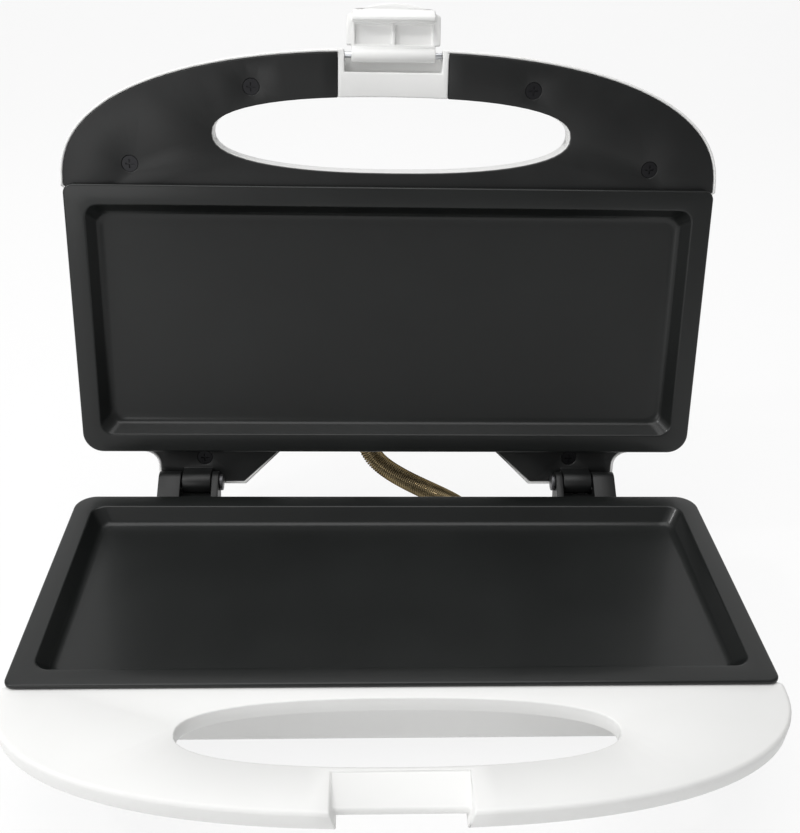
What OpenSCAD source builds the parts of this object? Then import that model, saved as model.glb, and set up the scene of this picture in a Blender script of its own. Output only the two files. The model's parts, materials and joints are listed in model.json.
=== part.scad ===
// Sandwich toaster with two flat cooking plates, drawn open as it stands on a table.
// Every half is first drawn in its own half frame: the cooking face looks up at z = 0,
// the front edge of the plate lies on y = 0 and the housing hangs below.

/* [Cooking plates] */
// Width of a cooking plate, left to right
plate_w = 236; // [210:1:260]
// Depth of a cooking plate, front to back
plate_d = 102.5; // [95:0.5:120]
// Thickness of the plate's outer edge
plate_edge = 3; // [2.4:0.2:3.6]
// Flat rim round the pan
rim_w = 8; // [6:0.5:10]
// Depth of the pan below the rim
pan_depth = 6; // [5:0.5:7]
// How far the pan's wall leans in
pan_lean = 4.6; // [3:0.2:6]
// Thickness of the pan's floor
pan_floor = 3; // [2.4:0.2:3.6]
// Corner radius of the pan
pan_r = 5; // [4:0.5:8]
// Radius of the plate's two front corners
plate_front_r = 2.5; // [1.5:0.5:5]
// Radius of the plate's two back corners
plate_back_r = 7.5; // [5:0.5:10]

/* [Opening] */
// Angle that the lid has opened from closed
open_angle = 100; // [80:1:105]
// Hinge axis behind the plates' back edge
hinge_back = 12; // [11.5:0.5:14]
// Hinge axis below the plates' meeting face
hinge_drop = 1.5; // [1:0.5:2]

/* [Housings] */
// Depth of the base housing below the meeting face
base_depth = 34; // [32:1:40]
// Depth of the lid housing above the meeting face
lid_depth = 30; // [28:1:36]
// Rise of the lid's crown over its edge
lid_crown = 2; // [1:0.5:4]
// Thickness of the moulded walls
shell_wall = 2.5; // [2:0.1:3]
// How far the plate stands out over the housing
plate_overhang = 1; // [0.6:0.2:2]
// Lean of the housing's front wall
front_lean = 14; // [8:1:16]
// Lean of the housing's side walls
side_lean = 13; // [8:1:16]
// Lean of the housing's back wall
back_lean = 3; // [2:0.5:4]
// Roundness of the edge between walls and floor
edge_r = 6; // [4:0.5:8]
// Height of the rubber feet
foot_h = 6; // [4:1:10]
// Radius of the rubber feet
foot_r = 8; // [6:0.5:9]

/* [Handles] */
// Reach of the handles in front of the plates
handle_reach = 47.6; // [44:0.2:52]
// How far each side of a handle stands out over the plate's side
handle_flare = 1.4; // [0.6:0.2:2.4]
// Fullness of the handle's outline, 2 is an ellipse
handle_power = 2.35; // [2.1:0.05:2.8]
// Length of the finger hole
grip_w = 129; // [110:1:140]
// Width of the finger hole, front to back
grip_d = 26.6; // [24:0.2:28]
// Middle of the finger hole in front of the plate
grip_y = 17.8; // [17:0.2:19]
// Fullness of the finger hole's outline
grip_power = 2.4; // [2:0.1:3]
// Height of the base handle's front band
band_h = 5; // [4.5:0.5:7]
// Thickness of the inner cover
cover_t = 2.2; // [1.8:0.1:2.6]
// White lip that shows round the inner cover
lip_w = 1.2; // [1:0.1:1.6]

/* [Latch] */
// Width of the latch flap
latch_w = 33; // [28:1:36]
// Width of the opening in which the latch sits
latch_gap_w = 39; // [37:1:42]
// Latch pivot behind the handle's front
latch_back = 2.4; // [2.2:0.1:3]
// Latch pivot above the meeting face
latch_up = 4.6; // [4.2:0.1:5]
// Pivot to the gripping face of the hook
latch_reach = 11.2; // [11:0.1:11.6]
// Length of the rounded tip beyond the gripping face
latch_tip = 6.2; // [5:0.2:8]
// Thickness of the flap
latch_t = 2.7; // [2.2:0.1:3]
// Swing of the latch from hooked to the drawn place
latch_angle = 98; // [80:1:110]
// Radius of the latch pin
latch_pin_r = 1.1; // [0.9:0.1:1.3]

/* [Hinges] */
// Radius of the hinge pins
hinge_pin_r = 2; // [1.6:0.1:2.4]
// Radius of the hinge knuckles
knuckle_r = 4.2; // [4:0.1:4.3]
// Inner side of the lid's knuckles, from the middle
knuckle_x = 69.1; // [66:0.1:72]
// Width of the lid's knuckles
knuckle_w = 11; // [8:0.5:12]
// Thickness of the bracket's thin inner ear
thin_ear = 2.7; // [2:0.1:4]
// Thickness of the bracket's outer ear
thick_ear = 8.6; // [6:0.2:9]

/* [Wire conduit] */
// Outside diameter of the wound conduit
conduit_d = 8; // [7:0.5:8.5]
// Diameter of its wire
conduit_wire = 0.9; // [0.8:0.1:1.2]
// Pitch of its turns on the middle line
conduit_pitch = 2; // [2:0.1:2.4]
// Place of the conduit in the base, right of the middle
conduit_base_x = 30; // [18:1:34]
// Place of the conduit in the lid, left of the middle
conduit_lid_x = 8; // [4:1:16]

/* [Heating] */
// Diameter of the tubular elements
element_d = 6.6; // [6:0.2:7.2]
// Half the distance between an element's two straight runs
element_half = 15; // [12:0.5:16]
// Thickness of the reflector sheets
sheet_t = 0.6; // [0.5:0.1:1]

/* [Hidden] */

$fn = 48;
white = [0.93, 0.93, 0.92];
black = [0.15, 0.155, 0.155];
coating = [0.2, 0.205, 0.205];
steel = [0.72, 0.73, 0.75];
dark_steel = [0.42, 0.42, 0.44];
ceramic = [0.86, 0.84, 0.78];
rubber = [0.1, 0.1, 0.1];
brass = [0.72, 0.55, 0.26];

// Steps of a round corner and of a handle's outline
corner_steps = 8;
outline_steps = 56;
// Thickness of a level in a lofted shape
thin = 0.01;
// Overlap of a cut with the air around it
cut = 1;
// Gap between pieces that only lie side by side
gap = 0.15;
// Running clearance of a shaft, and the lie of a fixed pin in its hole
run_gap = 0.05;
fix_gap = 0.03;
// Gap under a piece that sits on a curved or leaning face
seat_gap = 0.02;

half_w = plate_w / 2 - plate_overhang;
front_y = plate_overhang;
back_y = plate_d - plate_overhang;
handle_w = plate_w / 2 + handle_flare;
hinge_y = plate_d + hinge_back;
rim_z = base_depth + foot_h;
latch_y = -handle_reach + latch_back;
// Gap left between the closed plates, and the hinge axis seen from the lid's plate
meet_gap = 0.2;
lid_axis_z = hinge_drop + meet_gap;

// The drawing's origin lies under the middle of the opened toaster
lamp_x = 9;
lamp_y = front_y + front_lean + edge_r + 8;
lamp_r = 4;
lamp_top = lid_depth + lid_crown + 0.6;
open_back = hinge_y + (lamp_top + lid_axis_z) * sin(open_angle)
    - (hinge_y - lamp_y + lamp_r) * cos(open_angle);
mid_y = (open_back - handle_reach) / 2;

// A half frame's point on the table
module on_base() {
    translate([0, -mid_y, rim_z]) children();
}

// The lid's half frame, turned over and opened about the hinge axis
module on_lid() {
    on_base()
        translate([0, hinge_y, -hinge_drop])
            rotate([-open_angle, 0, 0])
                translate([0, -hinge_y, lid_axis_z])
                    mirror([0, 0, 1]) children();
}

// Both sides of the middle plane
module both_sides() {
    children();
    mirror([1, 0, 0]) children();
}

// A cylinder along X, centred in its length
module rod_x(r, length) {
    rotate([0, 90, 0]) cylinder(r = r, h = length, center = true);
}

// A cylinder along Y, from its front end
module rod_y(r, length) {
    rotate([-90, 0, 0]) cylinder(r = r, h = length);
}

// A slab with the profile of its children, given as [y, z], centred in x
module slab_x(width) {
    rotate([90, 0, 90]) linear_extrude(height = width, center = true) children();
}

// Outlines, as lists of [x, y]
function corner(x, y, r, from) = [for (i = [0:corner_steps])
    [x + r * cos(from + 90 * i / corner_steps), y + r * sin(from + 90 * i / corner_steps)]];
function round_rect(half, y0, y1, front_r, back_r) = concat(
    corner(half - front_r, y0 + front_r, front_r, 270),
    corner(half - back_r, y1 - back_r, back_r, 0),
    corner(-half + back_r, y1 - back_r, back_r, 90),
    corner(-half + front_r, y0 + front_r, front_r, 180));
function full_power(v, power) = sign(v) * pow(abs(v), 2 / power);
function full_oval(half_x, half_y, power, from, to, steps) = [for (i = [0:steps])
    let (a = from + (to - from) * i / steps)
    [half_x * full_power(cos(a), power), half_y * full_power(sin(a), power)]];

// How far down a housing's wall a level lies, 0 at the plate and 1 at the floor
function share(depth, z) = (-z - plate_edge) / (depth - plate_edge);
function housing_back(depth, z) = back_y - back_lean * share(depth, z);
function housing_front(depth, z) = front_y + front_lean * share(depth, z);
function housing_half(depth, z) = half_w - side_lean * share(depth, z);
function back_tilt(depth) = atan(back_lean / (depth - plate_edge));
function back_normal(depth) = [0, cos(back_tilt(depth)), -sin(back_tilt(depth))];
function housing_outline(depth, z, inset) = round_rect(
    housing_half(depth, z) - inset,
    housing_front(depth, z) + inset,
    housing_back(depth, z) - inset,
    plate_front_r + edge_r * (0.2 + share(depth, z)),
    plate_back_r + edge_r * share(depth, z));

// A place on a housing's back wall: y = 0 is its outer face and +y points out of it
module on_back_wall(depth, x, z) {
    translate([x, housing_back(depth, z), z])
        rotate([-back_tilt(depth), 0, 0]) children();
}

// Levels of a housing, each [height, inset]: the wall, the rounded edge and the crown
module housing(depth, crown, skin, top) {
    bottom = -depth + skin;
    levels = concat([[top, skin]],
        [for (a = [0:18:90]) [bottom + edge_r * (1 - sin(a)), skin + edge_r * (1 - cos(a))]],
        crown > 0 ? [[bottom - crown * 0.7, skin + edge_r + 12], [bottom - crown, skin + edge_r + 26]] : []);
    hull()
        for (level = levels)
            translate([0, 0, level[0]])
                linear_extrude(height = thin)
                    polygon(housing_outline(depth, max(level[0], -depth), level[1]));
}

// Outline of a handle, drawn in by an inset, with its tail under the plate
function handle_outline(inset, tail) = concat(
    full_oval(handle_w - inset, handle_reach - inset, handle_power, 180, 360, outline_steps),
    [[handle_w - inset, min(front_y, tail / 2)], [half_w - 5, tail], [-half_w + 5, tail],
        [-handle_w + inset, min(front_y, tail / 2)]]);
function grip_outline(grow) = [for (p = full_oval(grip_w / 2 + grow, grip_d / 2 + grow,
    grip_power, 0, 360 - 360 / outline_steps, outline_steps - 1)) [p[0], p[1] - grip_y]];

// A convex form through levels, each [height, inset], of the handle's outline
module handle_levels(levels, tail) {
    for (level = levels)
        translate([0, 0, level[0]])
            linear_extrude(height = thin)
                polygon(handle_outline(level[1], tail));
}

// The finger hole, from one height to another
module grip_prism(z0, z1, grow) {
    translate([0, 0, z0])
        linear_extrude(height = z1 - z0)
            polygon(grip_outline(grow));
}

// Cooking plate
pan_skin = 2.5;
boss_r = 4.5;
boss_x = plate_w / 2 - 26;
boss_y = [26, plate_d - 24.5];
boss_end = -17.2;
screw_r = 1.75;
thread_r = 1.8;
plate_floor = -pan_depth - pan_floor;
element_y = plate_d / 2;
element_x = 66;
element_end = -84;
element_z = plate_floor - element_d / 2 - 0.3;
channel_w = element_d + 5.4;
channel_z = element_z + 0.6;

// The plate's outline with its two corner radii
module plate_outline() {
    half = plate_w / 2;
    translate([-half, plate_front_r]) square([plate_w, plate_d - plate_front_r - plate_back_r]);
    translate([-half + plate_front_r, 0]) square([plate_w - 2 * plate_front_r, plate_front_r]);
    translate([-half + plate_back_r, plate_d - plate_back_r])
        square([plate_w - 2 * plate_back_r, plate_back_r]);
    for (side = [-1, 1]) {
        translate([side * (half - plate_front_r), plate_front_r]) circle(r = plate_front_r);
        translate([side * (half - plate_back_r), plate_d - plate_back_r]) circle(r = plate_back_r);
    }
}

// A level of the pan, drawn in from the plate's edge
module pan_level(z, inset, r) {
    translate([0, 0, z])
        linear_extrude(height = thin)
            polygon(round_rect(plate_w / 2 - inset, inset, plate_d - inset, r, r));
}

// The pan's hollow, with a soft corner between wall and floor
module pan_hollow() {
    lean = pan_lean / pan_depth;
    hull() {
        pan_level(cut, rim_w - cut * lean, pan_r);
        pan_level(-pan_depth + 1.8, rim_w + pan_lean - 1.8 * lean, pan_r - 1);
        pan_level(-pan_depth + 0.6, rim_w + pan_lean, pan_r - 1.4);
        pan_level(-pan_depth, rim_w + pan_lean + 1.4, pan_r - 2);
    }
}

// The U that the element and its channel follow, as a solid of revolution and two runs
module element_path(r, tail) {
    for (side = [-1, 1])
        translate([tail, element_y + side * element_half, element_z])
            rotate([0, 90, 0]) cylinder(r = r, h = element_x - tail);
    translate([element_x, element_y, element_z])
        rotate([0, 0, -90])
            rotate_extrude(angle = 180)
                translate([element_half, 0]) circle(r = r);
}

// The raised channel on the plate's underside
module element_channel() {
    height = plate_floor - channel_z + thin;
    translate([0, 0, channel_z])
        linear_extrude(height = height)
            difference() {
                union() {
                    translate([element_end + 6, element_y - element_half - channel_w / 2])
                        square([element_x - element_end - 6, 2 * element_half + channel_w]);
                    translate([element_x, element_y]) circle(r = element_half + channel_w / 2);
                }
                translate([element_end, element_y - element_half + channel_w / 2])
                    square([element_x - element_end, 2 * element_half - channel_w]);
                translate([element_x, element_y]) circle(r = element_half - channel_w / 2);
            }
}

module cooking_plate() {
    difference() {
        union() {
            translate([0, 0, -plate_edge]) linear_extrude(height = plate_edge) plate_outline();
            hull() {
                pan_level(-plate_edge, rim_w - 0.2, pan_r);
                pan_level(plate_floor + 1.5, rim_w + pan_lean - 1, pan_r);
                pan_level(plate_floor, rim_w + pan_lean, pan_r);
            }
            element_channel();
            both_sides()
                for (y = boss_y)
                    translate([boss_x, y, boss_end]) cylinder(r = boss_r, h = plate_floor - boss_end + 1);
        }
        pan_hollow();
        element_path(element_d / 2 + run_gap, element_end);
        both_sides()
            for (y = boss_y)
                translate([boss_x, y, boss_end - cut]) cylinder(r = thread_r, h = 8);
    }
}

module element() {
    element_path(element_d / 2, element_end);
}

// Ceramic bead on each end of an element
seal_r = 2.9;
seal_l = 6;
module element_seals() {
    for (side = [-1, 1])
        translate([element_end - seal_l, element_y + side * element_half, element_z])
            rotate([0, 90, 0])
                difference() {
                    cylinder(r = seal_r, h = seal_l);
                    translate([0, 0, -cut]) cylinder(r = pin_r + fix_gap, h = seal_l + 2 * cut);
                }
}

// Cold pin with its flat tab
pin_r = 1.3;
tab_w = 6.3;
tab_t = 0.8;
tab_l = 8;
module element_pins() {
    for (side = [-1, 1])
        translate([element_end - seal_l - 4, element_y + side * element_half, element_z]) {
            rotate([0, 90, 0]) cylinder(r = pin_r, h = seal_l + 4 - fix_gap);
            translate([-tab_l, -tab_w / 2, -tab_t / 2]) cube([tab_l + 1, tab_w, tab_t]);
        }
}

// A drawn sheet tray: floor at z, walls rising to the rim
module tray(z, rim, half0, half1, y0, y1, grow) {
    difference() {
        hull() {
            translate([0, 0, z]) linear_extrude(height = thin) polygon(round_rect(half0, y0, y1, 6, 6));
            translate([0, 0, rim - thin]) linear_extrude(height = thin)
                polygon(round_rect(half1, y0 - grow, y1 + grow, 6, 6));
        }
        hull() {
            translate([0, 0, z + sheet_t]) linear_extrude(height = thin)
                polygon(round_rect(half0 - sheet_t, y0 + sheet_t, y1 - sheet_t, 5.4, 5.4));
            translate([0, 0, rim + cut]) linear_extrude(height = thin)
                polygon(round_rect(half1 - sheet_t, y0 - grow + sheet_t, y1 + grow - sheet_t, 5.4, 5.4));
        }
        both_sides()
            for (y = boss_y)
                translate([boss_x, y, z - cut]) cylinder(r = screw_r + 0.4, h = 4);
        translate([0, element_y, z - cut]) cylinder(r = thermostat_r + 1.5, h = 4);
        children();
    }
}

// A pan-head screw along +Z, its seat at z = 0 and its thread above
module screw(r, head_r, head_h, length) {
    difference() {
        union() {
            translate([0, 0, -head_h]) cylinder(r = head_r, h = head_h);
            cylinder(r = r, h = length);
        }
        for (turn = [0, 90])
            rotate([0, 0, turn])
                translate([-head_r * 0.55, -head_r * 0.12, -head_h - cut])
                    cube([head_r * 1.1, head_r * 0.24, cut + head_h * 0.6]);
    }
}

// Base housing
post_r = 6;
post_end = boss_end - sheet_t;
head_seat = 6;
foot_x = 70;
foot_y = 32;
heel = [78, back_y - 1.5];
heel_r = foot_r + 1.5;
heel_top = -27.6;
stem_r = 2.4;
stem_l = 4.4;
base_floor = -base_depth + shell_wall;
skin_z = -plate_edge - shell_wall;
rib_t = 2;
lip_t = 1.7;
grip_front = -grip_y - grip_d / 2;
lip_back = grip_front - 1.4;
lip_front = latch_y + 1.2;
lip_low = -6.3;
lip_top = -plate_edge - 0.35;
lip_half = latch_gap_w / 2;
notch_floor_half = lip_half - 2.7;

module base_handle_form() {
    hull() handle_levels([[-plate_edge - thin, 0.9], [-plate_edge - 0.9, 0],
        [-plate_edge - band_h, 0.4]], front_y + shell_wall - 0.2);
}

module base_handle_hollow() {
    hull() handle_levels([[skin_z - thin, shell_wall], [-plate_edge - band_h - cut, shell_wall]], 0.4);
}

// The space cut out of the handle's front for the latch
module latch_notch() {
    reach = handle_reach + 10;
    hull() {
        translate([-lip_half, -reach, -plate_edge])
            cube([2 * lip_half, reach + lip_back, cut]);
        translate([-notch_floor_half, -reach, -plate_edge - band_h - 2 * cut])
            cube([2 * notch_floor_half, reach + lip_back, cut]);
    }
}

// The dipped lip that the hook grips
module latch_lip() {
    r = lip_t / 2;
    slab_x(2 * lip_half) {
        polygon([[lip_back + 0.5, lip_top], [lip_back + 0.5, lip_top - 2],
            [lip_front + r, lip_low], [lip_front + r, lip_low + lip_t]]);
        translate([lip_front + r, lip_low + r]) circle(r = r);
    }
}

module bracket_hole_places() {
    both_sides()
        for (x = bracket_screw_x)
            on_back_wall(base_depth, x, bracket_screw_z) children();
}

module base_shell() {
    color(white)
        on_base()
            difference() {
                union() {
                    difference() {
                        union() {
                            housing(base_depth, 0, 0, -plate_edge - thin);
                            both_sides() heel_form();
                        }
                        difference() {
                            housing(base_depth, 0, shell_wall, cut);
                            both_sides()
                                for (y = boss_y)
                                    translate([boss_x, y, -base_depth])
                                        cylinder(r = post_r, h = post_end + base_depth);
                            translate([0, 0, -base_depth]) base_seats();
                        }
                    }
                    difference() {
                        base_handle_form();
                        difference() {
                            base_handle_hollow();
                            grip_prism(-plate_edge - 4, 0, 1.8);
                            translate([-lip_half - 2, -handle_reach - cut, -plate_edge - band_h])
                                cube([2 * lip_half + 4, handle_reach + cut + grip_front, band_h]);
                            handle_ribs();
                        }
                    }
                }
                difference() {
                    latch_notch();
                    latch_lip();
                }
                grip_prism(-plate_edge - band_h - 2 * cut, cut, 0);
                both_sides()
                    for (y = boss_y)
                        translate([boss_x, y, -base_depth - cut]) {
                            cylinder(r = post_r - 1.7, h = head_seat + cut);
                            cylinder(r = screw_r + 0.35, h = base_depth);
                        }
                both_sides() {
                    translate([foot_x, foot_y, -base_depth - cut])
                        cylinder(r = stem_r + fix_gap, h = shell_wall + 2 * cut);
                    translate([heel[0], heel[1], -base_depth - cut])
                        cylinder(r = stem_r + fix_gap, h = stem_l + cut + gap);
                }
                bracket_hole_places() translate([0, -6, 0]) rod_y(bracket_screw_r + gap, 8);
                on_back_wall(base_depth, cord_x, cord_z) translate([0, -6, 0]) rod_y(gland_r + gap, 8);
                on_back_wall(base_depth, conduit_base_x, conduit_z)
                    translate([0, -6, 0]) rod_y(collar_r + gap, 8);
            }
}

// Rounded heel under each hinge: it carries a rear foot behind the back wall
module heel_form() {
    translate([heel[0], heel[1], -base_depth]) {
        cylinder(r1 = heel_r - 1, r2 = heel_r, h = 1);
        translate([0, 0, 1]) cylinder(r = heel_r, h = heel_top + base_depth - 2);
        translate([0, 0, heel_top + base_depth - 1]) cylinder(r1 = heel_r, r2 = heel_r - 1, h = 1);
    }
}

// Ribs that carry the handle's skin on the front wall
module handle_ribs() {
    for (x = [-94, -76, 76, 94])
        translate([x - rib_t / 2, -handle_reach, -plate_edge - band_h])
            cube([rib_t, handle_reach + front_y + cut, band_h]);
}

// Raised seats on the floor, measured from the housing's underside
block_x = -58;
block_y = back_y - 21.5;
block_size = [34, 16, 11];
seat_h = 1.5;
module base_seats() {
    translate([block_x - block_size[0] / 2 - 1, block_y - block_size[1] / 2 - 1, 0])
        cube([block_size[0] + 2, block_size[1] + 2, shell_wall + seat_h]);
}

module lower_plate() {
    color(coating) on_base() cooking_plate();
}

module lower_element() {
    color(dark_steel) on_base() element();
}

module lower_element_seals() {
    color(ceramic) on_base() element_seals();
}

module lower_element_pins() {
    color(steel) on_base() element_pins();
}

tray_y0 = 15;
tray_y1 = plate_d - 12.5;
module lower_reflector() {
    color(steel) on_base() tray(post_end, element_z - 2, half_w - 19, half_w - 18,
        tray_y0, tray_y1, 1);
}

module lower_plate_screws() {
    color(steel)
        on_base()
            both_sides()
                for (y = boss_y)
                    translate([boss_x, y, -base_depth + head_seat])
                        screw(screw_r, 3.6, 2.4, base_depth - head_seat + boss_end + 6);
}

// Disc thermostat under the middle of the plate
thermostat_r = 8;
thermostat_h = 7;
module thermostat() {
    color(dark_steel)
        on_base()
            translate([0, element_y, plate_floor]) {
                translate([0, 0, -2]) cylinder(r = thermostat_r, h = 2);
                translate([0, 0, -thermostat_h]) cylinder(r = thermostat_r - 1.2, h = thermostat_h - 1);
                translate([0, 0, -thermostat_h - 2]) cylinder(r = 2.6, h = 3);
                for (side = [-1, 1])
                    translate([side * 4.4 - 0.4, -2.4, -thermostat_h - 6]) cube([0.8, 4.8, 7]);
            }
}

// Thermal fuse against the plate, held by a strap
fuse_r = 2;
fuse_x = 30;
fuse_l = 16;
module thermal_fuse() {
    color(brass)
        on_base()
            translate([fuse_x, element_y, plate_floor - fuse_r]) {
                rod_x(fuse_r, fuse_l);
                rod_x(0.5, fuse_l + 14);
            }
}

module fuse_clip() {
    strap = 0.5;
    color(steel)
        on_base()
            translate([fuse_x, element_y, plate_floor - fuse_r])
                slab_x(6)
                    difference() {
                        union() {
                            circle(r = fuse_r + strap);
                            translate([-fuse_r - strap, 0]) square([2 * (fuse_r + strap), fuse_r]);
                            translate([-7, fuse_r - strap]) square([14, strap]);
                        }
                        circle(r = fuse_r);
                        translate([-fuse_r, 0]) square([2 * fuse_r, fuse_r + cut]);
                    }
}

// Ceramic terminal block on its seat
module terminal_block() {
    color(ceramic)
        on_base()
            translate([block_x, block_y, base_floor + seat_h])
                difference() {
                    translate([-block_size[0] / 2, -block_size[1] / 2, 0]) cube(block_size);
                    for (i = [-1:1])
                        translate([i * 11, 0, 0]) {
                            translate([0, -block_size[1] / 2 - cut, 5]) rod_y(2, block_size[1] + 2 * cut);
                            translate([0, 0, 5]) cylinder(r = 2.2, h = 10);
                        }
                }
}

// Inlet of the mains cord, an empty gland in the back wall
cord_x = -46;
cord_z = -18;
gland_r = 6;
gland_bore = 3.4;
module cord_inlet() {
    color(rubber)
        on_base()
            on_back_wall(base_depth, cord_x, cord_z)
                difference() {
                    union() {
                        translate([0, seat_gap, 0]) rod_y(gland_r + 2.4, 2.2);
                        translate([0, -shell_wall - 2, 0]) rod_y(gland_r, shell_wall + 4);
                        translate([0, -shell_wall - 2.2 - seat_gap, 0]) rod_y(gland_r + 1.3, 2.2);
                    }
                    translate([0, -10, 0]) rod_y(gland_bore, 20);
                }
}

// Insulated wires from point to point
wire_r = 1;
wire_sides = 6;
function step_dir(points, i) = unit(points[min(i + 1, len(points) - 1)] - points[max(i - 1, 0)]);
function across(side, dir) = unit(side - (side * dir) * dir);
function carried(points, i) = i == 0 ? [across(side_ref, step_dir(points, 0))] :
    let (before = carried(points, i - 1)) concat(before, [across(before[i - 1], step_dir(points, i))]);
function ring(at, dir, side, r, sides) = [for (j = [0:sides - 1])
    let (a = 360 * j / sides) at + r * (cos(a) * side + sin(a) * cross(dir, side))];
module tube(points, r, sides) {
    last = len(points) - 1;
    side = carried(points, last);
    polyhedron(
        points = [for (i = [0:last]) each ring(points[i], step_dir(points, i), side[i], r, sides)],
        faces = tube_faces(last, sides));
}
module wire(points, r) {
    tube(points, r, wire_sides);
}

tab_x = element_end - seal_l - 4 - tab_l;
low_y = element_y - element_half;
high_y = element_y + element_half;
wire_z = base_floor + 4;
block_front = block_y - block_size[1] / 2;
block_wire_z = base_floor + seat_h + 5;
conduit_in_y = back_y - shell_wall - 4;
module base_wires() {
    color(rubber)
        on_base() {
            wire([[tab_x - 0.3, low_y, element_z], [tab_x - 2.5, low_y, element_z - 1],
                [tab_x - 2, low_y + 13.75, wire_z + 2], [block_x - 22, block_y - 14, wire_z],
                [block_x - 11, block_front - 3, block_wire_z],
                [block_x - 11, block_front + 3, block_wire_z]], wire_r);
            wire([[tab_x - 0.3, high_y, element_z], [tab_x - 2.5, high_y, element_z - 1],
                [tab_x - 1, high_y - 2.25, wire_z + 5], [block_x - 14, block_y - 22, wire_z + 4],
                [block_x, block_front - 4, block_wire_z], [block_x, block_front + 3, block_wire_z]],
                wire_r);
            wire([[-4.4, element_y, plate_floor - thermostat_h - 7.2], [-6, element_y, wire_z],
                [block_x + 24, block_y - 18, wire_z], [block_x + 11, block_front - 3, block_wire_z],
                [block_x + 11, block_front + 3, block_wire_z]], wire_r);
            wire([[4.4, element_y, plate_floor - thermostat_h - 7.2], [6, element_y, wire_z],
                [conduit_base_x - 6, back_y - 19.5, wire_z],
                [conduit_base_x - 5, back_y - 8.5, conduit_z - 10.5],
                [conduit_base_x - 1.2, conduit_in_y - 2, conduit_z - 1],
                [conduit_base_x - 1.2, conduit_in_y + 3, conduit_z - 1]], wire_r);
            wire([[block_x + 11, block_y + block_size[1] / 2 - 3, block_wire_z],
                [block_x + 11, block_y + block_size[1] / 2 + 3, block_wire_z],
                [conduit_base_x - 18, back_y - 9.5, wire_z], [conduit_base_x + 2, back_y - 12.5, wire_z],
                [conduit_base_x, back_y - 8.5, conduit_z - 8.5],
                [conduit_base_x + 1.2, conduit_in_y - 2, conduit_z + 1],
                [conduit_base_x + 1.2, conduit_in_y + 3, conduit_z + 1]], wire_r);
        }
}

// Hinge bracket on the back wall: two ears on a block
ear_in = knuckle_x - 0.4;
ear_out = knuckle_x + knuckle_w + 0.5;
block_top = -12;
block_low = -27;
bracket_screw_x = [ear_in + 1.4, ear_out + 4.4];
bracket_screw_z = -20;
bracket_screw_r = 1.5;
function tangent_angle(point, centre, r, side) =
    atan2(point[1] - centre[1], point[0] - centre[0]) + side * acos(r / norm(point - centre));
bracket_top = [housing_back(base_depth, -5.5), -5.5];
bracket_heel = [hinge_y - 5.5, block_low];
bracket_eye = [hinge_y, -hinge_drop];
bracket_from = tangent_angle(bracket_top, bracket_eye, knuckle_r, -1) + 360;
bracket_to = tangent_angle(bracket_heel, bracket_eye, knuckle_r, 1);
function bracket_profile() = concat([bracket_top],
    [for (i = [0:24]) bracket_eye + knuckle_r * [cos(bracket_from + (bracket_to - bracket_from) * i / 24),
        sin(bracket_from + (bracket_to - bracket_from) * i / 24)]],
    [bracket_heel, [housing_back(base_depth, block_low), block_low]]);
module hinge_bracket() {
    block_w = ear_out + thick_ear - ear_in + thin_ear;
    difference() {
        translate([ear_in - thin_ear + block_w / 2, 0, 0]) slab_x(block_w) polygon(bracket_profile());
        translate([ear_in, back_y - 10, block_top]) cube([ear_out - ear_in, 40, 40]);
        translate([ear_in - thin_ear - cut, hinge_y, -hinge_drop])
            rotate([0, 90, 0]) cylinder(r = hinge_pin_r + fix_gap, h = hinge_pin_end - ear_in + thin_ear + cut);
        for (x = bracket_screw_x)
            on_back_wall(base_depth, x, bracket_screw_z) translate([0, -cut, 0])
                rod_y(bracket_screw_r + fix_gap, 8);
    }
}
module hinge_bracket_left() {
    color(black) on_base() mirror([1, 0, 0]) hinge_bracket();
}
module hinge_bracket_right() {
    color(black) on_base() hinge_bracket();
}

module hinge_bracket_screws() {
    color(dark_steel)
        on_base()
            both_sides()
                for (x = bracket_screw_x)
                    on_back_wall(base_depth, x, bracket_screw_z)
                        translate([0, -shell_wall - seat_gap, 0])
                            rotate([-90, 0, 0]) screw(bracket_screw_r, 3, 2, 9);
}

// Hinge pin with its head on the inner side
hinge_pin_end = ear_out + thick_ear - 1.4;
module hinge_pin() {
    translate([0, hinge_y, -hinge_drop])
        rotate([0, 90, 0]) {
            translate([0, 0, ear_in - thin_ear - 1.5]) cylinder(r = hinge_pin_r + 1.2, h = 1.5);
            translate([0, 0, ear_in - thin_ear - 1]) cylinder(r = hinge_pin_r,
                h = hinge_pin_end - ear_in + thin_ear + 1 - gap);
        }
}
module hinge_pin_left() {
    color(steel) on_base() mirror([1, 0, 0]) hinge_pin();
}
module hinge_pin_right() {
    color(steel) on_base() hinge_pin();
}

module foot(stem) {
    cylinder(r1 = foot_r - 0.8, r2 = foot_r, h = foot_h - seat_gap);
    translate([0, 0, foot_h - 1]) cylinder(r = stem_r, h = stem + 1);
}
module rubber_feet() {
    color(rubber)
        on_base()
            both_sides() {
                translate([foot_x, foot_y, -rim_z]) {
                    foot(shell_wall + 1);
                    translate([0, 0, foot_h + shell_wall + seat_gap])
                        cylinder(r1 = stem_r + 1.2, r2 = stem_r - 0.4, h = 2.6);
                }
                translate([heel[0], heel[1], -rim_z]) foot(stem_l);
            }
}

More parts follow.
